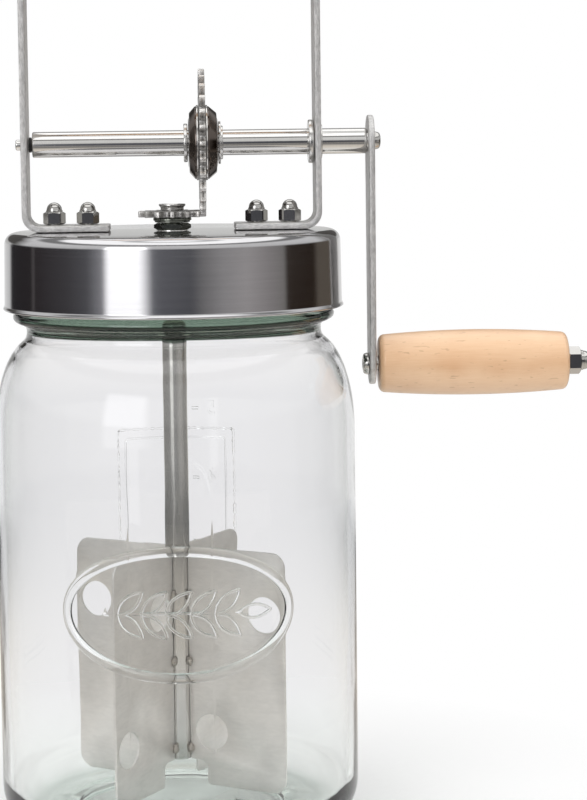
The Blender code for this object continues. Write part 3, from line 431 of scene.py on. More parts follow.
class Tree:
    """A node tree to write in. Calling it adds a node and gives back its first output.

    Values without a name fill the inputs in order. A name with a capital is an input, with _
    for a space, and any other name is a setting of the node.
    """

    def __init__(self, nodes):
        self.nodes = nodes.nodes
        self.links = nodes.links

    def __call__(self, kind, *values, **named):
        made = self.nodes.new(kind)
        for name, value in named.items():
            if name[0].islower():
                setattr(made, name, value)
        for key, value in enumerate(values):
            self.feed(made.inputs[key], value)
        return self.fill(made, **{name: named[name] for name in named if name[0].isupper()})

    def feed(self, socket, value):
        """Links an input to another node's output, or sets its value."""
        if isinstance(value, Wire):
            self.links.new(value.socket, socket)
        elif socket.type == "RGBA":
            socket.default_value = (*value, 1)
        else:
            socket.default_value = value

    def fill(self, made, **named):
        """Feeds a node's inputs by name. The node may be given by its own name."""
        made = self.nodes[made] if isinstance(made, str) else made
        for name, value in named.items():
            self.feed(made.inputs[name.replace("_", " ")], value)
        return Wire(self, made.outputs[0]) if made.outputs else None

    def group(self, wanted, **named):
        return self("ShaderNodeGroup", node_tree=wanted(), **named)

    def join(self, *parts):
        whole = self.nodes.new("GeometryNodeJoinGeometry")
        for part in parts:
            self.feed(whole.inputs[0], part)
        return Wire(self, whole.outputs[0])

    def xyz(self, x=0.0, y=0.0, z=0.0):
        return self("ShaderNodeCombineXYZ", x, y, z)

    def maths(self, operation, *values):
        return self("ShaderNodeMath", *values, operation=operation)

    def reach(self, vector):
        return self("ShaderNodeVectorMath", vector, operation="LENGTH")["Value"]

    def blend(self, factor, first, second):
        mixed = self.nodes.new("ShaderNodeMix")
        mixed.data_type = "RGBA"
        for key, value in ((0, factor), (6, first), (7, second)):
            self.feed(mixed.inputs[key], value)
        return Wire(self, mixed.outputs[2])

    def grain(self, vector, scale, detail=3.0, roughness=0.55, distortion=0.0):
        return self("ShaderNodeTexNoise", Vector=vector, Scale=scale, Detail=detail,
                    Roughness=roughness, Distortion=distortion)

    def scaled(self, vector, *scale):
        return self("ShaderNodeMapping", Vector=vector, Scale=scale)

    def centred(self, vector, centre):
        return self("ShaderNodeMapping", Vector=vector, Location=tuple(-value for value in centre))

    def bump(self, height, strength, distance):
        return self("ShaderNodeBump", Height=height, Strength=strength, Distance=distance)

    def ramp(self, factor, stops):
        made = self("ShaderNodeValToRGB", factor)
        elements = made.socket.node.color_ramp.elements
        while len(elements) < len(stops):
            elements.new(1.0)
        for element, (place, tone) in zip(elements, stops):
            element.position = place
            element.color = (*tone, 1)
        return made

    def turn_about_z(self, x, y):
        """A direction's turn about Z, from 0 to 1, with the front in the middle."""
        return self.maths("ARCTAN2", x, y * -1.0) / TURN + 0.5


def node_group(inputs, outputs=None):
    """Makes a function a node group, which is written the first time that it is wanted.

    An input is given as its kind of socket or as its default. A group without outputs is a
    geometry tree, which ends in real instances and then the material.
    """
    def wrap(write):
        name = write.__name__.replace("_", " ").title()

        def wanted():
            if name in bpy.data.node_groups:
                return bpy.data.node_groups[name]
            tree_kind = "ShaderNodeTree" if outputs else "GeometryNodeTree"
            made = bpy.data.node_groups.new(name, tree_kind)
            tree = Tree(made)
            starts = inputs if outputs else {**inputs, "Material": "Material"}
            ends = outputs or {"Geometry": "Geometry"}
            for label, value in starts.items():
                kind = {float: "Float", int: "Int"}.get(type(value), value)
                socket = made.interface.new_socket(
                    label, in_out="INPUT", socket_type=f"NodeSocket{kind}")
                if kind != value:
                    socket.default_value = value
            for label, kind in ends.items():
                made.interface.new_socket(label, in_out="OUTPUT", socket_type=f"NodeSocket{kind}")
            given = tree("NodeGroupInput")
            found = write(tree, given)
            if not outputs:
                real = tree("GeometryNodeRealizeInstances", Geometry=found)
                found = {"Geometry": tree("GeometryNodeSetMaterial", Geometry=real,
                                          Material=given["Material"])}
            tree.fill(tree.nodes.new("NodeGroupOutput"), **found)
            return made
        return wanted
    return wrap


# Shared finishes

@node_group({"Vector": "Vector", "Fineness": 2500.0, "Drift": 30.0}, {"Vector": "Vector"})
def turned_lay(tree, given):
    """Coordinates in which a fine grain runs round the Z axis, on walls and on flat faces."""
    x, y, z = given["Vector"].split()
    across = tree.maths("SQRT", x * x + y * y) + z
    drift = given["Drift"]
    return {"Vector": tree.xyz(x * drift, y * drift, across * given["Fineness"])}


@node_group({"Grain Place": "Vector", "Mark Place": "Vector", "Colour": "Color", "Shade": 0.15,
             "Roughness": 0.25, "Spread": 0.08, "Mark Size": 60.0, "Marks": 0.5},
            {"Colour": "Color", "Roughness": "Float", "Height": "Float"})
def worked_steel(tree, given):
    """Fine grain with handling marks: a shade, a roughness and a height for the bump."""
    fine = tree.grain(given["Grain Place"], 1.0, 3.0, 0.6)
    broad = tree.grain(given["Grain Place"], 0.23, 2.0, 0.5)
    lines = (fine * 0.65 + broad * 0.35).spread(0.3, 0.7)
    smudge = tree.grain(given["Mark Place"], given["Mark Size"], 4.0, 0.6, 0.6).spread(0.4, 0.72)
    marks = smudge * given["Marks"]
    dim = 1.0 - ((1.0 - lines) * given["Shade"] + marks * 0.12)
    tone = tree("ShaderNodeVectorMath", given["Colour"], operation="SCALE", Scale=dim)
    rough = given["Roughness"] + lines * given["Spread"] + marks * given["Spread"]
    return {"Colour": tone, "Roughness": rough, "Height": lines}


@node_group({"Vector": "Vector", "Pale": "Color", "Dark": "Color"},
            {"Colour": "Color", "Roughness": "Float", "Height": "Float"})
def wood_grain(tree, given):
    """Beech: soft growth bands and fibres along X, with short dark flecks, and a painted shade that
    darkens its front and back round the given centre.
    """
    place = given["Vector"]
    x, y, z = place.split()
    drift = tree.grain(tree.scaled(place, 9.0, 60.0, 60.0), 1.0, 2.0, 0.5)
    growth = tree.maths("SINE", z * 340.0 + (y * 150.0 + drift * 9.0)) * 0.5 + 0.5
    fibres = tree.grain(tree.scaled(place, 70.0, 2600.0, 2600.0), 1.0, 3.0, 0.6).spread(0.3, 0.7)
    flecks = tree.grain(tree.scaled(place, 260.0, 1000.0, 1000.0), 1.0, 1.0, 0.4).spread(0.67, 0.74)
    # Painted shade: round the centre, on the grip's front and back, the cloud darkens the wood
    # further, so the ends, the top and the underside look lighter.
    painted_middle_shade = (tree.maths("ABSOLUTE", x).spread(0.045, 0.015)
             * tree.maths("ABSOLUTE", z).spread(0.0085, 0.001))
    cloud = tree.grain(place, 55.0, 3.0, 0.5).spread(0.35, 0.7)
    tone = growth * 0.26 + fibres * 0.22 + cloud * (0.26 + painted_middle_shade * 0.34)
    wood = tree.blend(tone, given["Pale"], given["Dark"])
    fleck_tone = tree.blend(0.45, given["Dark"], (0.2, 0.1, 0.05))
    return {"Colour": tree.blend(flecks * 0.55, wood, fleck_tone),
            "Roughness": 0.36 + fibres * 0.14, "Height": fibres - flecks * 0.8}


def new_material(name):
    """An empty material, its tree to write in and its object coordinates."""
    material = bpy.data.materials.new(name)
    material.use_nodes = True
    tree = Tree(material.node_tree)
    return material, tree, tree("ShaderNodeTexCoord")["Object"]


def steel_finish(name, tone, roughness, lay="Z", centre=(0, 0, 0), stretch=None, depth=0.00001,
                 shade=0.15, change=0.08, marks=0.5, mark_size=60.0, fineness=2500.0,
                 anisotropy=0.0, attribute=None, rim=None, polish=None):
    """A worked steel. The grain runs round an axis, or along one where a stretch is given.

    A rim is two radii and a tone: what lies further in takes on that tone. Between the two
    heights of a polish the steel turns brighter.
    """
    material, tree, place = new_material(name)
    if attribute:
        place = tree("ShaderNodeAttribute", attribute_name=attribute)["Vector"]
    centred = tree.centred(place, centre)
    if stretch:
        grain_place = tree.scaled(centred, *stretch)
    else:
        if lay == "X":
            centred = tree("ShaderNodeMapping", Vector=centred, Rotation=(0, -QUARTER, 0))
        grain_place = tree.group(turned_lay, Vector=centred, Fineness=fineness)
    worked = tree.group(
        worked_steel, Grain_Place=grain_place, Mark_Place=place, Colour=tone, Shade=shade,
        Roughness=roughness, Spread=change, Mark_Size=mark_size, Marks=marks,
    )
    shown, rough = worked["Colour"], worked["Roughness"]
    if rim:
        inner, outer, inner_tone = rim
        flat = tree("ShaderNodeVectorMath", centred, (1, 1, 0), operation="MULTIPLY")
        shown = tree.blend(tree.reach(flat).spread(inner, outer), inner_tone, shown)
    if polish:
        rough = rough * (1.0 - place.split()[2].spread(*polish) * 0.45)
    tree.fill("Principled BSDF", Base_Color=shown, Roughness=rough, Metallic=1.0,
              Normal=tree.bump(worked["Height"], 0.6, depth))
    if anisotropy:
        tangent = tree("ShaderNodeTangent", direction_type="RADIAL", axis=lay)
        tree.fill("Principled BSDF", Anisotropic=anisotropy, Anisotropic_Rotation=0.25,
                  Tangent=tangent)
    return material


def jar_glass(jar):
    """Clear glass, faintly green where it is thick, with soft waves from the mould and a painted
    dark green shade on the bead under the lid.
    """
    material, tree, place = new_material("jar_glass")
    height = place.split()[2]
    finish = tree.blend(height.spread(0.215, 0.225), WHITE, (0.72, 0.82, 0.76))
    # Painted shade: the bead just under the lid's edge is coloured dark green, for the shadowed gap
    # under the lid.
    bead = height.window(0.2055, 0.209, 0.2165, 0.225)
    waves = tree.grain(tree.scaled(place, 1.0, 1.0, 0.35), 42.0, 2.0, 0.45)
    smudges = tree.grain(place, 26.0, 5.0, 0.6, 0.8).spread(0.52, 0.75)
    glass = tree.fill("Principled BSDF", Base_Color=tree.blend(bead, finish, (0.19, 0.265, 0.21)),
                      Transmission_Weight=1.0, IOR=1.5, Roughness=smudges * 0.05,
                      Normal=tree.bump(waves, 0.35, 0.0006))
    clear = tree("ShaderNodeBsdfTransparent", (0.97, 0.985, 0.975))
    shadow = tree("ShaderNodeLightPath")["Is Shadow Ray"]
    tree.fill("Material Output", Surface=tree("ShaderNodeMixShader", shadow, glass, clear),
              Volume=tree("ShaderNodeVolumeAbsorption", Color=jar.tint, Density=8.0))
    return material


def beech(name, centre, settings):
    """Pale beech with a thin satin coat, its grain along X."""
    material, tree, place = new_material(name)
    wood = tree.group(wood_grain, Vector=tree.centred(place, centre),
                      Pale=settings.beech, Dark=settings.beech_dark)
    tree.fill("Principled BSDF", Base_Color=wood["Colour"], Roughness=wood["Roughness"],
              Normal=tree.bump(wood["Height"], 0.35, 0.00008), Coat_Weight=0.9,
              Coat_Roughness=0.38, Coat_IOR=1.75)
    return material


def moulded(name, tone, roughness):
    """A moulded plastic or rubber with a fine mould texture and a little dust."""
    material, tree, place = new_material(name)
    speck = tree.grain(place, 900.0, 3.0, 0.6)
    cloud = tree.grain(place, 70.0, 3.0, 0.5).spread(0.35, 0.7)
    dusty = tuple(value * (1 - 2 * 0.06) for value in tone)
    tree.fill("Principled BSDF", Base_Color=tree.blend(cloud, tone, dusty),
              Roughness=speck.spread(0.3, 0.7, roughness - 0.06, roughness + 0.06),
              Normal=tree.bump(speck, 0.25, 0.00004))
    return material


# Geometry trees

def grown(name, wanted, source=None, **values):
    """Runs a geometry tree with its inputs set by name, and keeps the plain mesh."""
    source = source or placed(name, bpy.data.meshes.new(name))
    step = source.modifiers.new(name, "NODES")
    step.node_group = wanted()
    for item in step.node_group.interface.items_tree:
        key = item.name.replace(" ", "_")
        if item.in_out == "INPUT" and key in values:
            step[item.identifier] = values[key]
    return evaluated(source, name)


def swept(tree, curve, radius, resolution=12, **settings):
    """A round bar along a curve."""
    section = tree("GeometryNodeCurvePrimitiveCircle", Resolution=resolution, Radius=radius)
    return tree("GeometryNodeCurveToMesh", Curve=curve, Profile_Curve=section, Fill_Caps=True,
                **settings)


@node_group({"Teeth": 28, "Tip Radius": 0.0, "Root Radius": 0.0, "Gap Radius": 0.0,
             "Tip Width": 0.0, "Bore": 0.0, "Thickness": 0.0, "First Angle": 0.0})
def toothed_wheel(tree, given):
    """A flat toothed wheel on the XY plane, with a round bottom to each gap and a bore.

    A ring of points is set out by number. Four points make a tooth's tip and ten the gap
    after it, so both follow the tooth count.
    """
    tip_points, gap_points = 4, 10
    every = tip_points + gap_points
    tip, gap, thickness = given["Tip Radius"], given["Gap Radius"], given["Thickness"]
    rim = tree("GeometryNodeMeshCircle", Vertices=given["Teeth"] * every, Radius=tip)
    index = tree("GeometryNodeInputIndex")
    tooth = tree.maths("FLOOR", (index + 0.5) / every)
    step = index - tooth * every
    pitch = TURN / given["Teeth"]
    centre = tooth * pitch + given["First Angle"]
    tip_angle = centre + (step / (tip_points - 1) - 0.5) * given["Tip Width"] / tip

    round_gap = (step - tip_points) / (gap_points - 1) * math.pi
    gap_x = given["Root Radius"] + gap - gap * tree.maths("SINE", round_gap)
    gap_y = gap * -1.0 * tree.maths("COSINE", round_gap)

    in_gap = tree.maths("GREATER_THAN", step, tip_points - 0.5)
    on_tip = 1.0 - in_gap
    angle = tip_angle * on_tip + (centre + pitch * 0.5) * in_gap
    place = tree.xyz(tip * on_tip + gap_x * in_gap, gap_y * in_gap)
    place = tree("ShaderNodeVectorRotate", Vector=place, Angle=angle, rotation_type="Z_AXIS")
    rim = tree("GeometryNodeSetPosition", Geometry=rim, Position=place)
    rim = tree("GeometryNodeMeshToCurve", Mesh=rim)
    bore = tree("GeometryNodeCurvePrimitiveCircle", Resolution=64, Radius=given["Bore"])
    face = tree("GeometryNodeFillCurve", Curve=tree.join(rim, bore), mode="NGONS")
    sink = tree.xyz(z=thickness * -0.5)
    face = tree("GeometryNodeTransform", Geometry=face, Translation=sink)
    body = tree("GeometryNodeExtrudeMesh", Mesh=face, Offset_Scale=thickness, Individual=False)
    whole = tree.join(body, tree("GeometryNodeFlipFaces", Mesh=face))
    return tree("GeometryNodeMergeByDistance", Geometry=whole, Distance=WELD)


def spaced(tree, count, start, between):
    """A row of points from a start."""
    return tree("GeometryNodeMeshLine", Count=count, Start_Location=start, Offset=between)


def copied(tree, points, piece, **turn):
    return tree("GeometryNodeInstanceOnPoints", Points=points, Instance=piece, **turn)


@node_group({"Geometry": "Geometry", "Inner Place": 0.0, "Outer Place": 0.0, "Seed": 0})
def foot_row(tree, given):
    """Four copies of a fastener along X, two for each foot, each turned a little its own way."""
    inner = given["Inner Place"]
    pair = spaced(tree, 2, tree.xyz(inner), tree.xyz(given["Outer Place"] - inner))
    other = tree("GeometryNodeTransform", Geometry=pair, Scale=(-1, 1, 1))
    turn = tree("FunctionNodeRandomValue", (0, 0, 0.37), (0, 0, 0.72), Seed=given["Seed"],
                data_type="FLOAT_VECTOR")
    return copied(tree, tree.join(pair, other), given["Geometry"], Rotation=turn)


@node_group({"Geometry": "Geometry", "Count": 4, "First Angle": 0.0})
def fan(tree, given):
    """Copies of a piece about the Z axis, evenly spaced from a first angle."""
    index = tree("GeometryNodeInputIndex")
    angle = given["First Angle"] + index * (TURN / given["Count"])
    points = tree("GeometryNodePoints", Count=given["Count"])
    return copied(tree, points, given["Geometry"], Rotation=tree.xyz(z=angle))


@node_group({"Radius": 0.0, "Rise": 0.0, "Turns": 1.4, "Ridge": 0.0, "Bottom": 0.0})
def thread_ridge(tree, given):
    """A raised screw thread about Z, which fades out at both ends."""
    coil = tree(
        "GeometryNodeCurveSpiral", Resolution=96, Rotations=given["Turns"],
        Start_Radius=given["Radius"], End_Radius=given["Radius"],
        Height=given["Rise"] * given["Turns"],
    )
    along = tree("GeometryNodeSplineParameter")["Factor"]
    size = tree.maths("MAXIMUM", along.window(0.0, 0.08, 0.92, 1.0), 0.12)
    ridge = swept(tree, coil, given["Ridge"], Scale=size)
    lift = tree.xyz(z=given["Bottom"])
    return tree("GeometryNodeTransform", Geometry=ridge, Translation=lift)


@node_group({"Count": 6, "Step": 0.0, "First Height": 0.0, "Width": 0.0, "Place": 0.0,
             "Line": 0.0})
def measure_marks(tree, given):
    """Raised level marks, one above the other, each a short round-ended bar on the XY plane."""
    first = tree.xyz(given["Place"], given["First Height"])
    points = spaced(tree, given["Count"], first, tree.xyz(y=given["Step"]))
    end = tree.xyz(given["Width"])
    bar = swept(tree, tree("GeometryNodeCurvePrimitiveLine", End=end), given["Line"])
    return copied(tree, points, bar)


@node_group({"Pairs": 5, "Stem": 0.0, "Leaf Length": 0.0, "Leaf Width": 0.0, "Line": 0.0})
def leaf_sprig(tree, given):
    """A raised sprig on the XY plane: a stem with pairs of outlined leaves."""
    long, wide = given["Leaf Length"], given["Leaf Width"]
    tip = tree.xyz(long)
    edges = [tree("GeometryNodeCurveQuadraticBezier", Resolution=14, Start=(0, 0, 0), End=tip,
                  Middle=tree.xyz(long * 0.42, bulge)) for bulge in (wide, wide * -1.0)]
    leaf = tree.join(*edges)
    half_stem = given["Stem"] * -0.5
    between = tree.xyz(given["Stem"] / given["Pairs"])
    row = spaced(tree, given["Pairs"], tree.xyz(half_stem), between)
    leaves = [copied(tree, row, leaf, Rotation=(0, 0, side * math.radians(42)))
              for side in (1, -1)]
    end_place = tree.xyz(half_stem * -1.0)
    end_leaf = tree("GeometryNodeTransform", Geometry=leaf, Translation=end_place)
    stem_start = tree.xyz(half_stem * 1.25)
    stem = tree("GeometryNodeCurvePrimitiveLine", Start=stem_start, End=end_place)
    lines = tree("GeometryNodeRealizeInstances", tree.join(*leaves, end_leaf, stem))
    return swept(tree, lines, given["Line"], 10)


# The jar

def jar_section(jar):
    """The jar's half section, from the floor's middle up inside, over the rim, down outside."""
    outer, _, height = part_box("glass_jar")[1]
    rim, crown = 0.0015, 0.0011
    bead_depth, bead_half = 0.0038, 0.0027
    bead_middle = height - 0.0287 - bead_half
    neck_top = bead_middle - bead_half - 0.0016
    neck_bottom = neck_top - 0.005
    wall_top = neck_bottom - jar.shoulder_height
    heel_centre = outer - jar.heel_radius
    inner_heel = jar.heel_radius - jar.wall
    mouth = jar.finish_radius - jar.mouth_wall
    centre = jar.neck_radius - 0.003
    start = math.acos((jar.neck_radius - centre) / (outer - centre))
    rise = jar.shoulder_height / math.sin(start)

    points = [(heel_centre * along, jar.floor + crown * (1 - along * along))
              for along in (step / 6 for step in range(6))]
    points += arc((heel_centre, jar.floor + inner_heel), inner_heel, -90, 0, 14)
    points += arc((centre, wall_top), (outer - jar.wall - centre, rise - 0.0025), 0, 50, 16)
    points += rounded([
        points[-1], (mouth + 0.00735, neck_bottom - 0.0065, 0.009),
        (mouth + 0.0013, neck_bottom + 0.0003, 0.007), (mouth, neck_bottom + 0.008, 0.02),
        (mouth, height - rim),
    ], closed=False, steps=6)[1:-1]
    points += arc((mouth + rim, height - rim), rim, 180, 90, 7)
    points += arc((jar.finish_radius - rim, height - rim), rim, 90, 0, 7)
    points += arc((jar.finish_radius, bead_middle), (bead_depth, bead_half), 86, -86, 17)
    shoulder = arc((centre, wall_top), (outer - centre, rise), 68, 0, 24)
    points += rounded([
        points[-1], (jar.finish_radius, bead_middle - bead_half - 0.0004, 0.0008),
        (jar.neck_radius, neck_top, 0.002), (jar.neck_radius, neck_bottom + 0.0007, 0.005),
        shoulder[0],
    ], closed=False)[1:-1]
    points += shoulder
    rows = 34
    points += [(outer, wall_top + (jar.heel_radius - wall_top) * row / rows)
               for row in range(1, rows)]
    points += arc((heel_centre, jar.heel_radius), jar.heel_radius, 0, -90, 16)
    groove = [(0.044, 0), (0.0428, 0.0004), (0.041, 0.001), (0.025, 0.001), (0.0232, 0.0004),
              (0.022, 0)]
    return points + groove + [(0, 0)]


def oval_path(width, height, count):
    turns = [TURN * step / count for step in range(count)]
    return [(width / 2 * math.cos(turn), height / 2 * math.sin(turn), 0) for turn in turns]


def stepped(points, spacing):
    """Points at an even spacing along a closed outline."""
    spots = []
    for start, end in zip(points, points[1:] + points[:1]):
        start, end = Vector((*start, 0)), Vector((*end, 0))
        count = max(1, round((end - start).length / spacing))
        spots += [start.lerp(end, step / count) for step in range(count)]
    return spots


def raised_line(name, points, radius, sides=2, rough=0.0):
    """A closed round line through points on the XY plane, for a raised relief."""
    chance = random.Random(4)
    curve = bpy.data.curves.new(name, "CURVE")
    curve.dimensions = "3D"
    curve.bevel_depth = radius
    curve.bevel_resolution = sides
    curve.use_fill_caps = True
    for point in add_loop(curve, points):
        point.radius = 1 + rough * chance.uniform(-1, 1)
    return evaluated(placed(name, curve), name)


def figure(text, size, place):
    """A plain raised numeral on the XY plane."""
    name = "level_" + text
    curve = bpy.data.curves.new(name, "FONT")
    curve.body = text
    curve.size = size
    curve.align_x = curve.align_y = "CENTER"
    curve.extrude = 0.0006
    curve.resolution_u = 4
    return evaluated(placed(name, curve), name, Matrix.Translation(place))


def laid_on(piece, height, flatten=1.0, back=False):
    """Lays a flat relief on the jar's wall, in front or at the back."""
    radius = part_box("glass_jar")[1].x
    turn = math.pi if back else 0
    for vertex in piece.data.vertices:
        angle = vertex.co.x / radius + turn
        reach = radius + vertex.co.z * flatten
        vertex.co = (reach * math.sin(angle), -reach * math.cos(angle), height + vertex.co.y)
    return piece


def make_jar(jar):
    """The glass jar, with its thread, its raised oval with a sprig, and its level marks."""
    body = turned("jar", jar_section(jar), steps=224)
    oval = raised_line("oval", oval_path(jar.oval_width, jar.oval_height, 160), 0.0021, sides=5)
    reliefs = [laid_on(oval, jar.oval_place, 0.52)]
    sprig = grown("sprig", leaf_sprig, Pairs=5, Stem=0.048, Leaf_Length=0.0135,
                  Leaf_Width=0.0052, Line=jar.relief_line)
    reliefs.append(laid_on(sprig, jar.oval_place))
    for inset, rough in ((0, 0.6), (0.0037, 0.0)):
        across, up, corner = 0.0268 - inset, 0.054 - inset, 0.0012
        panel = rounded([(-across, -up, corner), (across, -up, corner), (across, up, corner),
                         (-across, up, corner)])
        panel = raised_line("panel", stepped(panel, 0.0009), 0.00042, rough=rough)
        reliefs.append(laid_on(panel, 0.1, back=True))
    count, first, step = 5, 0.047, 0.0288
    levels = [grown("marks", measure_marks, Count=count, Step=step, First_Height=first,
                    Width=0.003, Place=-0.0105, Line=jar.relief_line)]
    levels += [figure(str(number + 1), 0.008, (-0.0162, first + step * number, 0))
               for number in range(count)]
    reliefs += [laid_on(level, 0, back=True) for level in levels]
    reliefs.append(grown("jar_thread", thread_ridge, Radius=jar.finish_radius + 0.0001,
                         Ridge=jar.thread_ridge, Bottom=0.2225, **THREAD))
    body = combined(body, joined("jar_reliefs", reliefs), "UNION", sharp=40)
    dressed(body, jar_glass(jar), "jar", "clear_glass", "glass_jar")


# The lid and what stands on it

def make_lid(lid):
    """The pressed steel cap with its rolled edge, the seal and the thread liner."""
    low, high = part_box("lid_shell")
    edge, roll, sheet = lid.edge_radius, lid.rolled_edge, lid.sheet
    bottom = low.z - high.z
    skirt = high.x - roll
    corner = (skirt - 0.0004 - edge, -edge)
    bore = 0.0065
    outline = [(bore, 0), *arc(corner, edge, 90, 0, 12)]
    outline += rounded([outline[-1], (skirt, bottom + 3 * roll, 0.001),
                        (skirt + 0.8 * roll, bottom + 1.6 * roll)], closed=False)[1:-1]
    outline += arc((skirt, bottom + roll), roll, 40, -90, 9)
    outline += [(skirt - sheet, bottom), *arc(corner, edge - sheet, 0, 90, 9), (bore, -sheet)]
    cap = turned("lid_cap", outline, steps=256, place=raised(LID_TOP))
    holes = []
    for index in FEET:
        low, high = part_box(f"foot_bolt_{index}")
        holes.append(turned(f"bolt_hole_{index}", post(FOOT_HOLE, -0.004, 0.004), steps=32,
                            place=Matrix.Translation(((low + high).x / 2, 0, LID_TOP))))
    cap = combined(cap, joined("bolt_holes", holes), "DIFFERENCE")
    steel = steel_finish(
        "lid_steel", lid.steel, 0.11, fineness=5200.0, depth=0.0000012, shade=0.07, change=0.03,
        marks=0.4, mark_size=45.0, anisotropy=0.5, polish=(LID_TOP - 0.0032, LID_TOP - 0.0006),
    )
    dressed(cap, steel, "lid", "lid_steel", "lid_shell")

    low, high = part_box("lid_gasket")
    inner, groove = 0.0565, low.z + 0.0003
    seal = turned("seal_ring", rounded([
        (inner, low.z, 0.0004), (inner, high.z, 0.0004), (high.x - 0.0023, high.z, 0.0004),
        (high.x - 0.0001, low.z, 0.0004), (0.0625, low.z, 0.0002), (0.0622, groove, 0.0002),
        (0.0572, groove, 0.0002), (0.0569, low.z, 0.0002),
    ], steps=3), steps=160)
    rubber = moulded("seal_rubber", (0.8, 0.8, 0.77), 0.62)
    dressed(seal, rubber, "lid", "seal_rubber", "lid_gasket")

    low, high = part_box("lid_thread_ring")
    inner = high.x - 0.0032
    liner = turned("liner_wall", rounded([
        (inner, high.z, 0.0004), (high.x, high.z, 0.0004), (high.x, low.z + 0.0012, 0.0008),
        (high.x - 0.0012, low.z, 0.0008), (inner, low.z, 0.0008),
    ], steps=4), steps=160)
    thread = grown("liner_thread", thread_ridge, Radius=inner + 0.0003, Ridge=0.0011,
                   Bottom=low.z + 0.0052, **THREAD)
    plastic = moulded("ring_plastic", (0.82, 0.82, 0.8), 0.38)
    dressed(joined("thread_liner", [liner, thread]), plastic, "lid", "ring_plastic",
            "lid_thread_ring")


def bent_bar(name, side, uprights):
    """A flat bar punched with its holes, rounded at one end and bent up at its foot.

    The bar is made flat, X along it from the foot's end, and each point is then laid along
    the path. The flat places stay on the mesh, so the brushing follows the bend.
    """
    low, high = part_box("right_bracket")
    thickness = 0.0025
    half_width = high.y
    bend = uprights.bend_radius - thickness / 2
    foot = high.x - uprights.bend_radius - low.x
    curved = bend * QUARTER
    end = foot + curved + (high.z - low.z - uprights.bend_radius) - half_width
    rise = foot + curved - low.z - uprights.bend_radius
    holes = [(middle(f"foot_bolt_{index}", 0) - low.x, FOOT_HOLE) for index in (3, 4)]
    holes += [(rise + AXLE_HEIGHT, 0.00725 if side > 0 else 0.0025),
              (rise + TOP_GRIP_HEIGHT, GRIP_BORE)]
    outline = rounded([(0.0, half_width, 0.001), (0.0, -half_width, 0.001), (end, -half_width),
                       (end, half_width)])
    outline = [point for point in outline if point[0] < end - WELD]
    outline += arc((end, 0), half_width, -90, 90, 33)
    holes = [circle((along, 0), radius, 48) for along, radius in holes]
    bar = plate(name, [outline, *holes], thickness, uprights.edge)
    body = bmesh.new()
    body.from_mesh(bar.data)
    bpy.data.objects.remove(bar)
    cuts = 16
    for step in range(cuts + 1):
        bmesh.ops.bisect_plane(body, geom=body.verts[:] + body.edges[:] + body.faces[:],
                               plane_co=(foot + curved * step / cuts, 0, 0), plane_no=(1, 0, 0))
    flat = body.verts.layers.float_vector.new("flat_place")
    centre = Vector((foot, 0, bend))
    for vertex in body.verts:
        along, across, lift = vertex.co
        vertex[flat] = vertex.co
        reach = bend - lift
        if along <= foot:
            place = Vector((along, across, lift))
        elif along >= foot + curved:
            place = Vector((foot + bend - lift, across, bend + along - foot - curved))
        else:
            angle = (along - foot) / bend
            place = Vector((centre.x + reach * math.sin(angle), across,
                            centre.z - reach * math.cos(angle)))
        vertex.co = (side * (place.x + low.x), place.y, place.z + low.z + thickness / 2)
    if side < 0:
        bmesh.ops.reverse_faces(body, faces=body.faces)
    return from_bmesh(name, body)


def wooden_grip(name, solid, crank, place):
    """A wooden barrel along X with a bore, thickest at its middle."""
    low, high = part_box(solid)
    start, end = low.x, high.x
    centre = (start + end) / 2
    span = (end - start) / 2 - crank.grip_edge
    inset = crank.grip_end - crank.grip_edge
    lip, steps = 0.0004, 24
    outline = [(GRIP_BORE + lip, end), (GRIP_BORE, end - lip), (GRIP_BORE, start + lip),
               (GRIP_BORE + lip, start)]
    outline += arc((inset, centre - span), crank.grip_edge, -90, 0, 9)
    for step in range(1, steps):
        along = 2 * step / steps - 1
        swell = crank.grip_swell * (1 - along * along)
        outline.append((crank.grip_end + swell, centre + span * along))
    outline += arc((inset, centre + span), crank.grip_edge, 0, 90, 9)
    return turned(name, outline, place=place)


def make_uprights(uprights, crank):
    """The two bent bars, and the wooden handle between their tops."""
    steel = steel_finish("bar_steel", uprights.steel, 0.46, stretch=(420.0, 2200.0, 2200.0),
                         attribute="flat_place", **FLAT_BAR)
    for hand, side in (("left", -1), ("right", 1)):
        bar = bent_bar(f"{hand}_upright", side, uprights)
        dressed(bar, steel, "lid", "bar_steel", f"{hand}_bracket")
    handle = wooden_grip("top_handle", "top_grip", crank, facing_x(0, TOP_GRIP_HEIGHT))
    wood = beech("top_beech", (0.04, 0.013, TOP_GRIP_HEIGHT + 0.004), crank)
    dressed(handle, wood, "lid", "beech_wood", "top_grip")


def hexagon_side(flats, height, steepness):
    """The outside of a chamfered hexagon's half section, from its lower face to its upper."""
    corner = flats / math.sqrt(3)
    face = 0.47 * flats
    chamfer = corner - face
    slope = chamfer * steepness
    rise = [(face + chamfer * step / 5, slope * step / 5) for step in range(6)]
    return rise + [(corner - chamfer * step / 5, height - slope + slope * step / 5)
                   for step in range(6)]


def cap_nut(name, flats, hexagon, height, dome, bore, place):
    """A domed nut that stands on its own origin: chamfered hexagon, collar and dome."""
    collar = dome + 0.00025
    top = height - dome
    outline = [(0, 0.0002), (bore, 0.0002), (bore + 0.0003, 0), *hexagon_side(flats, hexagon, 0.55)]
    outline += [(collar + 0.0002, hexagon), (collar, hexagon + 0.0002), (collar, top - 0.0002),
                (dome + 0.0001, top), *arc((0, top), dome, 0, 90, 14)]
    return turned(name, outline, steps=72, flats=flats, place=place, sharp=24)


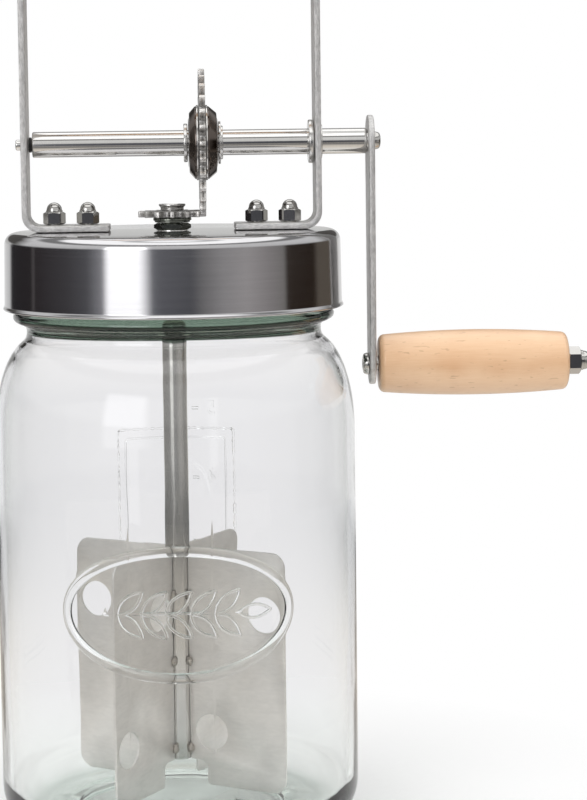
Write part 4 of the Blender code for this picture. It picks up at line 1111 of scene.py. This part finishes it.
def domed_bolt(name, radius, head, shank, below, socket, place):
    """A domed head on its shank, head up, with a hexagonal socket in it."""
    key = socket / math.sqrt(3)
    outline = [(0, 0.4 * head), (key, 0.4 * head), (key, head - 0.0003),
               (key + 0.0002, head - 0.0001), (0.62 * radius, head)]
    outline += rounded([outline[-1], (0.9 * radius, 0.82 * head, 0.5 * head),
                        (radius, 0.3 * head, 0.2 * head), (radius, 0)], closed=False)[1:]
    outline += [(shank, 0), (shank, -below + 0.0004), (shank - 0.0004, -below), (0, -below)]
    return turned(name, outline, steps=48, flats=socket, place=place)


def make_fasteners(fasteners):
    """Cap nuts and bolts on the feet, the handle's rod and its nuts."""
    polished = steel_finish(
        "nut_steel", (0.53, 0.52, 0.5), 0.06, stretch=(700.0, 700.0, 700.0), depth=0.0000015,
        shade=0.06, change=0.03, marks=0.4, mark_size=240.0,
    )
    nut = cap_nut("foot_cap_nut", fasteners.foot_flats, 0.005, 0.009, 0.0032, 0.0027,
                  raised(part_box("foot_nut_3")[0].z))
    low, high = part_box("foot_bolt_1")
    head = 0.002
    bolt = domed_bolt("foot_bolt", 0.0042, head, 0.0025, high.z - low.z - head, 0.003,
                      raised(low.z + head) @ Matrix.Rotation(math.pi, 4, "X"))
    for name, solid, single in (("foot_cap_nuts", "foot_nut", nut),
                                ("foot_bolts", "foot_bolt", bolt)):
        row = grown(name, foot_row, single, Inner_Place=middle("foot_nut_3", 0),
                    Outer_Place=middle("foot_nut_4", 0), Seed=fasteners.turn_seed)
        dressed(row, polished, "lid", "polished_steel", *[f"{solid}_{index}" for index in FEET])

    low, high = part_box("top_rod")
    lip = 0.0003
    rod = turned("top_handle_rod", [
        (0, high.x), (high.y - lip, high.x), (high.y, high.x - lip), (high.y, low.x + lip),
        (high.y - lip, low.x), (0, low.x),
    ], steps=48, place=facing_x(0, TOP_GRIP_HEIGHT))
    dressed(rod, polished, "lid", "polished_steel", "top_rod")
    ends = []
    for side, solid in ((-1, "top_nut_left"), (1, "top_nut_right")):
        low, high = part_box(solid)
        place = facing_x(low.x if side > 0 else high.x, TOP_GRIP_HEIGHT, side)
        ends.append(cap_nut(solid + "_cap", fasteners.grip_flats, *GRIP_NUT,
                            place @ Matrix.Rotation(0.3 * side, 4, "Z")))
    dressed(joined("top_cap_nuts", ends, sharp=24), polished, "lid", "polished_steel",
            "top_nut_left", "top_nut_right")


def make_bearings(fasteners):
    """The shaft's flanged bush and its nut, the axle's bush in the right bar, and the spacer."""
    steel = steel_finish("bush_steel", fasteners.steel, 0.16, centre=(0, 0, LID_TOP), **TURNED)
    low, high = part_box("shaft_bush")
    bore, flange = 0.0043, low.z + 0.002
    bush = turned("shaft_bearing", rounded([
        (bore, high.z, 0.0003), (0.0062, high.z, 0.0004), (0.0062, flange, 0.0002),
        (0.0095, flange, 0.0003), (0.0095, low.z, 0.0006), (bore, low.z, 0.0003),
    ], steps=3), steps=72)
    dressed(bush, steel, "lid", "polished_steel", "shaft_bush")

    dark = steel_finish(
        "dark_nut_steel", (0.22, 0.23, 0.2), 0.09, stretch=(500.0, 500.0, 500.0), depth=0.000003,
        shade=0.2, marks=0.8, mark_size=210.0,
    )
    low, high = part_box("bush_nut")
    flats, bore, tall = 0.01325, 0.0065, high.z - low.z
    nut = turned("bearing_nut", [
        (bore, tall - 0.0002), (bore, 0.0002), (bore + 0.0002, 0), *hexagon_side(flats, tall, 0.5),
        (bore + 0.0002, tall),
    ], steps=72, flats=flats, sharp=24,
        place=raised(low.z) @ Matrix.Rotation(math.radians(26), 4, "Z"))
    dressed(nut, dark, "lid", "dark_steel", "bush_nut")

    steel = steel_finish("axle_bush_steel", fasteners.steel, 0.17, lay="X",
                         centre=(0, 0, AXLE_HEIGHT), **TURNED)
    low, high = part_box("axle_bush")
    barrel, flange = AXLE_BORE + 0.0014, low.x + 0.0021
    place = facing_x(0, AXLE_HEIGHT)
    bush = turned("axle_bearing", rounded([
        (AXLE_BORE, high.x, 0.0003), (barrel, high.x, 0.0003), (barrel, flange, 0.0002),
        (high.y, flange, 0.0004), (high.y, low.x, 0.0006), (AXLE_BORE, low.x, 0.0003),
    ], steps=3), steps=72, place=place)
    dressed(bush, steel, "lid", "polished_steel", "axle_bush")

    low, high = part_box("axle_spacer")
    collar = turned("axle_collar", ring(0.0025, high.y, low.x, high.x, 0.0002, 0.0003), steps=48,
                    place=place)
    nylon = moulded("black_nylon", (0.018, 0.018, 0.019), 0.42)
    dressed(collar, nylon, "lid", "black_nylon", "axle_spacer")


# The crank and its wheel

def make_axle(fasteners):
    """The turned axle, with its thin journal at the left and its flatted tenon at the right."""
    low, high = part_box("crank_axle")
    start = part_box("axle_spacer")[1].x + GAP
    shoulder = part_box("crank_arm")[0].x - GAP
    radius, journal = 0.00525, 0.0022
    shaft = turned("axle_shaft", rounded([
        (0, shoulder), (radius, shoulder, 0.0006), (radius, start, 0.0006),
        (journal, start, 0.0001), (journal, low.x, 0.0007), (0, low.x),
    ], closed=False, steps=4), place=facing_x(0, AXLE_HEIGHT))
    tenon = plate("tenon", [flatted(0.004, 0.003)[::-1]], high.x - shoulder + 0.0002, 0.0002,
                  facing_x((shoulder + high.x) / 2, AXLE_HEIGHT))
    steel = steel_finish(
        "axle_steel", fasteners.steel, 0.05, lay="X", centre=(0, 0, AXLE_HEIGHT), fineness=3000.0,
        depth=0.0000015, shade=0.07, change=0.05, marks=0.6, mark_size=90.0,
    )
    dressed(joined("axle", [shaft, tenon]), steel, "crank", "polished_steel", "crank_axle")


def gear_steel(name, wheels, centre, axis, tip, depth):
    """Stamped steel, with a painted shade that darkens it between the teeth."""
    # Painted shade: inside the teeth's tips the steel takes on this darker tone, for the shade in
    # the gaps.
    painted_gap_shade = tuple(0.42 * value for value in wheels.steel)
    return steel_finish(
        name, wheels.steel, 0.3, lay=axis, centre=centre, fineness=2200.0, depth=0.000006,
        shade=0.16, change=0.12, marks=0.6, mark_size=170.0,
        rim=(tip - 0.8 * depth, tip - 0.0004, painted_gap_shade),
    )


def stamped(name, place, edge, **values):
    """A toothed wheel in its place, its edges rounded a little by the stamp."""
    wheel = softened(grown(name, toothed_wheel, **values), edge)
    wheel.data.transform(place)
    return wheel


def make_wheel(wheels, fasteners):
    """The toothed drive wheel, its dark hub halves, and the washers outside them."""
    low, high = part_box("drive_gear")
    centre = middle("drive_gear", 0)
    tip = high.z - AXLE_HEIGHT
    wheel = stamped("drive_wheel", facing_x(centre, AXLE_HEIGHT), 0.00035,
                    Teeth=wheels.wheel_teeth, Tip_Radius=tip, Root_Radius=tip - wheels.wheel_depth,
                    Gap_Radius=wheels.wheel_gap, Tip_Width=wheels.tip_width, Bore=AXLE_BORE,
                    Thickness=high.x - low.x)
    steel = gear_steel("wheel_steel", wheels, (centre, 0, AXLE_HEIGHT), "X", tip,
                       wheels.wheel_depth)
    dressed(wheel, steel, "crank", "gear_steel", "drive_gear")

    halves = []
    for side, solid in ((-1, "gear_hub_left"), (1, "gear_hub_right")):
        low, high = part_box(solid)
        depth = high.x - low.x
        outline = rounded([
            (AXLE_BORE, depth - 0.0002, 0.0002), (0.0095, depth, 0.0003),
            (0.0102, depth - 0.0003, 0.0002), (0.0122, depth - 0.0004, 0.0008),
            (0.0148, 0.0014, 0.0006), (0.015, 0.0008, 0.0002), (high.y, 0.0007, 0.0002),
            (high.y, 0, 0.0002), (AXLE_BORE, 0, 0.0002),
        ], steps=4)
        place = facing_x(low.x if side > 0 else high.x, AXLE_HEIGHT, side)
        halves.append(turned(solid + "_half", outline, place=place))
    dark = steel_finish(
        "hub_steel", wheels.steel, 0.08, lay="X", centre=(0, 0, AXLE_HEIGHT), fineness=2600.0,
        depth=0.000002, shade=0.1, change=0.06, marks=0.6, mark_size=150.0,
        rim=(0.0152, 0.0154, wheels.dark_steel),
    )
    dressed(joined("wheel_hubs", halves), dark, "crank", "dark_steel", "gear_hub_left",
            "gear_hub_right")

    steel = steel_finish(
        "washer_steel", fasteners.steel, 0.2, lay="X", centre=(0, 0, AXLE_HEIGHT), fineness=3600.0,
        depth=0.0000015, shade=0.1, marks=0.6, mark_size=160.0,
    )
    low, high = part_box("hub_washer_left")
    place = facing_x(0, AXLE_HEIGHT)
    washer = turned("wheel_washer", ring(AXLE_BORE, high.y, low.x, high.x, 0.0002, 0.0004),
                    steps=72, place=place)
    dressed(washer, steel, "crank", "polished_steel", "hub_washer_left")

    low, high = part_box("hub_washer_right")
    thickness = 0.0009
    retainer = stamped("hub_retainer", facing_x(low.x + thickness / 2, AXLE_HEIGHT), 0.0002,
                       Teeth=8, Tip_Radius=high.y, Root_Radius=high.y - 0.0016,
                       Gap_Radius=0.0007, Tip_Width=0.0052, Bore=AXLE_BORE, Thickness=thickness)
    back = low.x + 0.0002
    sleeve = turned("retainer_sleeve", rounded([
        (AXLE_BORE, high.x, 0.0002), (0.0069, high.x, 0.0003), (0.0069, back, 0.0001),
        (AXLE_BORE, back, 0.0001),
    ], steps=3), steps=72, place=place)
    dressed(joined("hub_retainer", [retainer, sleeve]), steel, "crank", "polished_steel",
            "hub_washer_right")


def make_crank(crank, fasteners, uprights):
    """The flat crank bar, its screw, the grip's pin and cap nut, and the wooden grip."""
    arm_low, arm_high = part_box("crank_arm")
    throw = AXLE_HEIGHT - GRIP_HEIGHT
    lean = math.degrees(math.asin((crank.top_radius - crank.end_radius) / throw))
    edge = arc((0, 0), crank.top_radius, -lean, 180 + lean, 33)
    edge += arc((0, -throw), crank.end_radius, 180 + lean, 360 - lean, 33)
    tenon_hole = [(x, -y) for x, y in flatted(0.0043, 0.0033)]
    stand = Matrix.Rotation(QUARTER, 4, "Z") @ Matrix.Rotation(QUARTER, 4, "X")
    place = Matrix.Translation((middle("crank_arm", 0), 0, AXLE_HEIGHT)) @ stand
    bar = plate("crank_bar", [edge, tenon_hole, circle((0, -throw), GRIP_BORE, 40)],
                arm_high.x - arm_low.x, 0.0006, place)
    steel = steel_finish("crank_bar_steel", uprights.steel, 0.44,
                         stretch=(2200.0, 2200.0, 420.0), **FLAT_BAR)
    dressed(bar, steel, "crank", "bar_steel", "crank_arm")

    polished = bpy.data.materials["nut_steel"]
    low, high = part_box("arm_screw")
    seat = arm_high.x + GAP
    screw = domed_bolt("crank_screw", high.y, high.x - seat, 0.0015, seat - low.x, 0.0025,
                       facing_x(seat, AXLE_HEIGHT))
    dressed(screw, polished, "crank", "polished_steel", "arm_screw")

    low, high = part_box("grip_bolt")
    seat = arm_low.x - GAP
    pin = domed_bolt("grip_pin", 0.0045, seat - low.x, 0.003, high.x - seat, 0.003,
                     facing_x(seat, GRIP_HEIGHT, -1))
    dressed(pin, polished, "crank", "polished_steel", "grip_bolt")

    place = facing_x(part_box("grip_nut")[0].x, GRIP_HEIGHT) @ Matrix.Rotation(QUARTER, 4, "Z")
    nut = cap_nut("grip_cap_nut", fasteners.grip_flats, *GRIP_NUT, place)
    dressed(nut, polished, "crank", "polished_steel", "grip_nut")

    grip = wooden_grip("crank_handle", "crank_grip", crank, facing_x(0, GRIP_HEIGHT))
    wood = beech("crank_beech", (0.11, 0.02, GRIP_HEIGHT - 0.003), crank)
    dressed(grip, wood, "grip", "beech_wood", "crank_grip")


# The dasher

def make_dasher(dasher, wheels, fasteners):
    """The shaft with its small gear, four pierced blades and the weld beads."""
    low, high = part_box("dasher_shaft")
    collar = LID_TOP - 0.0034
    nut_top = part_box("bush_nut")[1].z
    thin, journal, thick = 0.003, 0.004, 0.005
    rod = turned("dasher_rod", rounded([
        (0, high.z), (thin, high.z, 0.0004), (thin, nut_top, 0.0001), (journal, nut_top, 0.0003),
        (journal, collar, 0.0001), (thick, collar, 0.0005), (thick, low.z, 0.0006), (0, low.z),
    ], closed=False, steps=4))
    steel = steel_finish(
        "rod_steel", (0.56, 0.55, 0.53), 0.1, fineness=2600.0, depth=0.000002, shade=0.06,
        change=0.06, marks=0.7, mark_size=110.0,
    )
    dressed(rod, steel, "dasher", "polished_steel", "dasher_shaft")

    bore = thin + GAP
    low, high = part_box("pinion")
    centre = middle("pinion")
    tip = 0.0142
    gear = stamped("small_gear", raised(centre), 0.0004, Teeth=wheels.small_teeth, Tip_Radius=tip,
                   Root_Radius=tip - wheels.small_depth, Gap_Radius=wheels.small_gap,
                   Tip_Width=wheels.tip_width, Bore=bore, Thickness=high.z - low.z,
                   First_Angle=math.pi / wheels.small_teeth)
    steel = gear_steel("small_gear_steel", wheels, (0, 0, centre), "Z", tip, wheels.small_depth)
    dressed(gear, steel, "dasher", "gear_steel", "pinion")

    low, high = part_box("pinion_washer")
    inner = high.x - 0.0006
    washer = turned("small_gear_washer", rounded([
        (bore, high.z, 0.0002), (high.x, high.z, 0.0004), (high.x, low.z + 0.0008, 0.0002),
        (inner, low.z + 0.0006, 0.0002), (inner, low.z, 0.0002), (bore, low.z, 0.0002),
    ], steps=3), steps=72)
    dressed(washer, bpy.data.materials["dark_nut_steel"], "dasher", "dark_steel", "pinion_washer")

    low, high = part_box("pinion_cap")
    top, rim, neck = high.z, high.x, 0.0048
    cap = turned("small_gear_cap", rounded([
        (0, top - 0.0004), (0.0038, top - 0.0004, 0.0003), (0.0044, top, 0.0002),
        (rim, top, 0.0003), (rim, top - 0.0007, 0.0003), (neck, middle("pinion_cap"), 0.001),
        (neck, low.z, 0.0002), (bore, low.z, 0.0002), (bore, top - 0.0009), (0, top - 0.0009),
    ], closed=False, steps=4), steps=72)
    steel = steel_finish(
        "cap_steel", fasteners.steel, 0.15, fineness=4200.0, depth=0.000006, shade=0.2,
        marks=0.6, mark_size=200.0,
    )
    dressed(cap, steel, "dasher", "polished_steel", "pinion_cap")
    make_blades(dasher)


def make_blades(dasher):
    """Opposite blades are alike, and their neighbours' holes are swapped."""
    low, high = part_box("blade_1")
    top, bottom = high.z, low.z
    inner, outer, thickness = 0.0053, 0.05, 0.001
    first_turn = -31
    notch, notch_top = inner + dasher.notch_width, bottom + dasher.notch_height
    edge = rounded([
        (inner, top, 0.0006), (outer, top, dasher.corner), (outer, bottom, dasher.corner),
        (notch, bottom, 0.002), (notch, notch_top, 0.003), (inner, notch_top, 0.0006),
    ], steps=8)
    near, far = 0.0155, 0.0405
    upper, lower = top - 0.026, bottom + 0.0225
    pairs = []
    for index, places in enumerate((((far, upper), (near, lower)), ((near, upper), (far, lower)))):
        holes = [circle(place, dasher.hole_radius, 56) for place in places]
        blade = plate(f"blade_form_{index}", [edge, *holes], thickness, 0.00018,
                      Matrix.Rotation(QUARTER, 4, "X"))
        pairs.append(grown(f"blade_pair_{index}", fan, blade, Count=2,
                           First_Angle=math.radians(first_turn + 90 * index)))
    sheet = steel_finish(
        "blade_steel", dasher.steel, 0.4, stretch=(260.0, 260.0, 900.0), depth=0.000008,
        shade=0.12, change=0.1, marks=0.8, mark_size=50.0,
    )
    dressed(joined("dasher_blades", pairs), sheet, "dasher", "blade_steel", "blade_1", "blade_2",
            "blade_3", "blade_4")

    beads = [weld_bead((0.0057, side * 0.0011, LID_TOP + height), dasher.bead_radius,
                       row * 2.7 + side)
             for row, height in enumerate((-0.151, -0.179, -0.216)) for side in (-1, 1)]
    fanned = grown("weld_beads", fan, joined("bead_strip", beads), Count=4,
                   First_Angle=math.radians(first_turn))
    weld = steel_finish(
        "weld_steel", (0.5, 0.46, 0.41), 0.22, stretch=(1400.0, 1400.0, 1400.0), depth=0.00004,
        shade=0.35, change=0.15, marks=0.9, mark_size=420.0,
    )
    dressed(fanned, weld, "dasher", "blade_steel", "blade_1")


def weld_bead(place, radius, seed):
    """A small uneven bead of weld metal, longer along the joint."""
    body = bmesh.new()
    bmesh.ops.create_icosphere(body, subdivisions=3, radius=1)
    for vertex in body.verts:
        swell = 1 + 0.28 * noise.noise(vertex.co * 1.7 + Vector((seed, 0, 0)))
        ripple = 1 + 0.06 * math.sin(vertex.co.z * 9 + seed)
        vertex.co *= radius * swell * ripple
        vertex.co.z *= 1.7
        vertex.co += Vector(place)
    return from_bmesh("bead", body)


# Floor, light and camera

def ray_kinds(tree):
    """Masks for rays from the camera, off any steel, off steel in the jar, and through glass."""
    light = tree("ShaderNodeLightPath")
    through = light["Is Transmission Ray"]
    inside = through * (tree.maths("GREATER_THAN", light["Glossy Depth"], 0.5)
                        * tree.maths("GREATER_THAN", light["Transmission Depth"], 2.5))
    gloss = tree.maths("MAXIMUM", light["Is Glossy Ray"], inside)
    return light["Is Camera Ray"], gloss, inside, through - inside


def dark_side(tree, turn):
    """How far a direction lies behind the dark flags at the left and at the right."""
    return tree.maths("MAXIMUM", turn.window(0.085, 0.11, 0.34, 0.38),
                      turn.window(0.72, 0.76, 0.89, 0.915))


def floor_material():
    """A pale floor that is lit close to the churn and turns to plain white further out."""
    material, tree, place = new_material("pale_floor")
    speck = tree.grain(place, 240.0, 3.0, 0.6)
    lit = tree.fill("Principled BSDF", Roughness=speck.spread(0.3, 0.7, 0.55, 0.65),
                    Base_Color=tree.blend(speck, (0.93, 0.93, 0.93), (0.9, 0.9, 0.9)))
    camera, gloss, _, through = ray_kinds(tree)
    seen = tree.maths("MAXIMUM", camera, tree.maths("MAXIMUM", gloss, through))
    away = tree.reach(place)
    x, y, _ = place.split()
    sheen = tree.blend(away.spread(0.3, 0.65), FLOOR_SHEEN, (0.2, 0.2, 0.2))
    sheen = tree.blend(y.spread(0.62, 0.82), sheen, (0.88, 0.88, 0.88))
    side = dark_side(tree, tree.turn_about_z(x, y)) * away.spread(0.25, 0.8)
    tone = tree.blend(through, tree.blend(gloss, WHITE, sheen),
                      tree.blend(side, THROUGH_GLASS, FLAG_SHADE))
    white = tree("ShaderNodeEmission", tone, 1.0)
    tree.fill("Material Output",
              Surface=tree("ShaderNodeMixShader", away.spread(0.1, 0.24) * seen, lit, white))
    return material


def make_world():
    """The studio: white to the camera, an even light on what is matt, and soft panels that
    polished steel reflects. The panels stand at fixed directions round the churn."""
    world = bpy.data.worlds.new("studio")
    world.use_nodes = True
    bpy.context.scene.world = world
    tree = Tree(world.node_tree)
    x, y, z = tree("ShaderNodeTexCoord")["Generated"].split()
    turn = tree.turn_about_z(x, y)
    rise = tree.maths("ARCSINE", z) / QUARTER

    tones = (
        (-180, 0.9, 0.9, 0.9), (-147, 0.7, 0.7, 0.7), (-142, 0.03, 0.028, 0.03),
        (-111, 0.026, 0.022, 0.024), (-109, 0.15, 0.14, 0.14), (-107, 0.03, 0.025, 0.027),
        (-75, 0.053, 0.05, 0.056), (-60, 0.09, 0.09, 0.1), (-50, 0.26, 0.26, 0.28),
        (-16, 0.18, 0.185, 0.205), (-8, 0.12, 0.122, 0.14), (12, 0.085, 0.087, 0.1),
        (20, 0.2, 0.195, 0.2), (33, 0.34, 0.33, 0.335), (50, 0.43, 0.41, 0.41),
        (68, 0.31, 0.29, 0.29), (80, 0.24, 0.23, 0.22), (83, 0.03, 0.02, 0.014),
        (110, 0.024, 0.015, 0.01), (116, 0.13, 0.11, 0.09), (138, 0.12, 0.1, 0.08),
        (144, 0.6, 0.58, 0.55), (160, 0.85, 0.85, 0.84),
    )
    room = tree.ramp(turn, [(degrees / 360 + 0.5, tone) for degrees, *tone in tones])
    panel = turn.window(0.366, 0.378, 0.436, 0.462) * rise.window(-0.075, -0.055, 0.27, 0.31)
    strip = turn.window(0.414, 0.42, 0.432, 0.438) * rise.window(-0.2, -0.12, 0.27, 0.31)
    ceiling = tree.ramp(rise, [(place, (tone, tone, tone)) for place, tone in (
        (0.12, 0.75), (0.37, 0.85), (0.42, 0.28), (0.5, 0.28), (0.55, 1.6), (0.78, 1.6),
        (0.82, 0.8), (0.87, 0.8), (0.91, 1.6),
    )])
    camera, gloss, inside, through = ray_kinds(tree)
    for mask, tone in (
        (y.spread(0.75, 0.9) * rise.spread(0.005, 0.02), (0.6, 0.6, 0.59)),
        (strip, (1.3, 1.3, 1.32)),
        (panel, (1.7, 1.7, 1.72)),
        (rise.spread(0.045, 0.1) * (1.0 - panel * rise.spread(0.31, 0.29)), ceiling),
        (rise.window(0.06, 0.09, 0.26, 0.36) * y.spread(0.5, 0.75), (0.1, 0.095, 0.09)),
        (turn.window(0.366, 0.378, 0.44, 0.455) * rise.window(0.045, 0.06, 0.25, 0.28),
         (3.6, 3.6, 3.7)),
        (rise.spread(-0.12, -0.25), FLOOR_SHEEN),
        (inside * 0.38, (0.95, 0.93, 0.915)),
    ):
        room = tree.blend(mask, room, tone)
    backdrop = tree.blend(dark_side(tree, turn), THROUGH_GLASS, FLAG_SHADE)
    shown = tree.blend(through, tree.blend(gloss, (0.5, 0.5, 0.5), room), backdrop)
    tree.fill("Background", Color=tree.blend(camera, shown, WHITE), Strength=1.0)


def add_lamp(name, place, power):
    """A soft square lamp that faces the churn. Polished steel reflects the panels instead."""
    light = bpy.data.lights.new(name, "AREA")
    light.shape = "SQUARE"
    light.size = 1.2
    light.energy = power
    lamp = placed(name, light)
    lamp.location = place
    aim = Vector((0, 0, 0.2)) - Vector(place)
    lamp.rotation_euler = aim.to_track_quat("-Z", "Y").to_euler()
    lamp.visible_glossy = False
    lamp.visible_transmission = False


def make_stage(stage):
    """The floor, the studio light and the camera at the photograph's angle."""
    floor = turned("pale_floor", post(stage.floor_radius, -0.01, 0), place=raised(-0.0002))
    floor.data.materials.append(floor_material())
    make_world()
    add_lamp("key_lamp", (-0.8, -1.1, 1.1), stage.key_power)
    add_lamp("fill_lamp", (1.2, -0.8, 0.9), 0.5 * stage.key_power)
    add_lamp("top_lamp", (0.1, 0.4, 1.5), 0.6 * stage.key_power)

    camera = bpy.data.cameras.new("camera")
    camera.lens = stage.lens
    camera.sensor_width = 36
    camera.shift_x = 0.05
    camera.shift_y = -0.11
    camera.dof.use_dof = False
    camera.clip_start = 0.01
    holder = placed("camera", camera)
    holder.location = (0, -stage.distance, stage.height)
    holder.rotation_euler = stage.aim
    bpy.context.scene.camera = holder
    bpy.context.scene.view_settings.view_transform = "Standard"


# Operators, panel and registration

class CHURN_OT_jar(Operator):
    """Makes the glass jar with its thread, its raised oval and its level marks"""
    bl_idname = "churn.jar"
    bl_label = "Glass Jar"

    def execute(self, context):
        make_jar(context.scene.churn_jar)
        return {"FINISHED"}


class CHURN_OT_lid(Operator):
    """Makes the steel lid, its seal and its thread liner"""
    bl_idname = "churn.lid"
    bl_label = "Lid"

    def execute(self, context):
        make_lid(context.scene.churn_lid)
        return {"FINISHED"}


class CHURN_OT_uprights(Operator):
    """Makes the two bent bars and the wooden top handle"""
    bl_idname = "churn.uprights"
    bl_label = "Uprights and Top Handle"

    def execute(self, context):
        make_uprights(context.scene.churn_uprights, context.scene.churn_crank)
        return {"FINISHED"}


class CHURN_OT_fasteners(Operator):
    """Makes the bolts, the cap nuts and the top handle's rod"""
    bl_idname = "churn.fasteners"
    bl_label = "Bolts and Cap Nuts"

    def execute(self, context):
        make_fasteners(context.scene.churn_fasteners)
        return {"FINISHED"}


class CHURN_OT_bearings(Operator):
    """Makes the bushes, the bush nut and the spacer"""
    bl_idname = "churn.bearings"
    bl_label = "Bearings"

    def execute(self, context):
        make_bearings(context.scene.churn_fasteners)
        return {"FINISHED"}


class CHURN_OT_axle(Operator):
    """Makes the axle"""
    bl_idname = "churn.axle"
    bl_label = "Axle"

    def execute(self, context):
        make_axle(context.scene.churn_fasteners)
        return {"FINISHED"}


class CHURN_OT_wheel(Operator):
    """Makes the toothed drive wheel with its hub and washers"""
    bl_idname = "churn.wheel"
    bl_label = "Drive Wheel"

    def execute(self, context):
        make_wheel(context.scene.churn_wheels, context.scene.churn_fasteners)
        return {"FINISHED"}


class CHURN_OT_crank(Operator):
    """Makes the crank bar, its fasteners and the wooden grip"""
    bl_idname = "churn.crank"
    bl_label = "Crank and Grip"

    def execute(self, context):
        scene = context.scene
        make_crank(scene.churn_crank, scene.churn_fasteners, scene.churn_uprights)
        return {"FINISHED"}


class CHURN_OT_dasher(Operator):
    """Makes the dasher's shaft, small gear, blades and welds"""
    bl_idname = "churn.dasher"
    bl_label = "Dasher"

    def execute(self, context):
        scene = context.scene
        make_dasher(scene.churn_dasher, scene.churn_wheels, scene.churn_fasteners)
        return {"FINISHED"}


class CHURN_OT_stage(Operator):
    """Makes the floor, the studio light and the camera"""
    bl_idname = "churn.stage"
    bl_label = "Stage"

    def execute(self, context):
        make_stage(context.scene.churn_stage)
        return {"FINISHED"}


STEPS = ("jar", "lid", "uprights", "fasteners", "bearings", "axle", "wheel", "crank", "dasher",
         "stage")
SETTINGS = {
    "churn_jar": JarSettings,
    "churn_lid": LidSettings,
    "churn_uprights": UprightSettings,
    "churn_fasteners": FastenerSettings,
    "churn_wheels": WheelSettings,
    "churn_crank": CrankSettings,
    "churn_dasher": DasherSettings,
    "churn_stage": StageSettings,
}


class CHURN_PT_panel(Panel):
    """Lists the churn's settings and its operators"""
    bl_idname = "CHURN_PT_panel"
    bl_label = "Butter Churn"
    bl_space_type = "VIEW_3D"
    bl_region_type = "UI"
    bl_category = "Churn"

    def draw(self, context):
        for step in STEPS:
            self.layout.operator(f"churn.{step}")
        for name, settings in SETTINGS.items():
            box = self.layout.box()
            box.label(text=name.replace("churn_", "").title())
            for field in settings.__annotations__:
                box.prop(getattr(context.scene, name), field)


OPERATORS = (
    CHURN_OT_jar, CHURN_OT_lid, CHURN_OT_uprights, CHURN_OT_fasteners, CHURN_OT_bearings,
    CHURN_OT_axle, CHURN_OT_wheel, CHURN_OT_crank, CHURN_OT_dasher, CHURN_OT_stage,
)
CLASSES = (*SETTINGS.values(), *OPERATORS, CHURN_PT_panel)


def register():
    for item in CLASSES:
        bpy.utils.register_class(item)
    for name, settings in SETTINGS.items():
        setattr(bpy.types.Scene, name, PointerProperty(type=settings))


def unregister():
    for name in SETTINGS:
        delattr(bpy.types.Scene, name)
    for item in reversed(CLASSES):
        bpy.utils.unregister_class(item)


def main():
    register()
    for step in STEPS:
        getattr(bpy.ops.churn, step)()


if __name__ == "__main__":
    main()
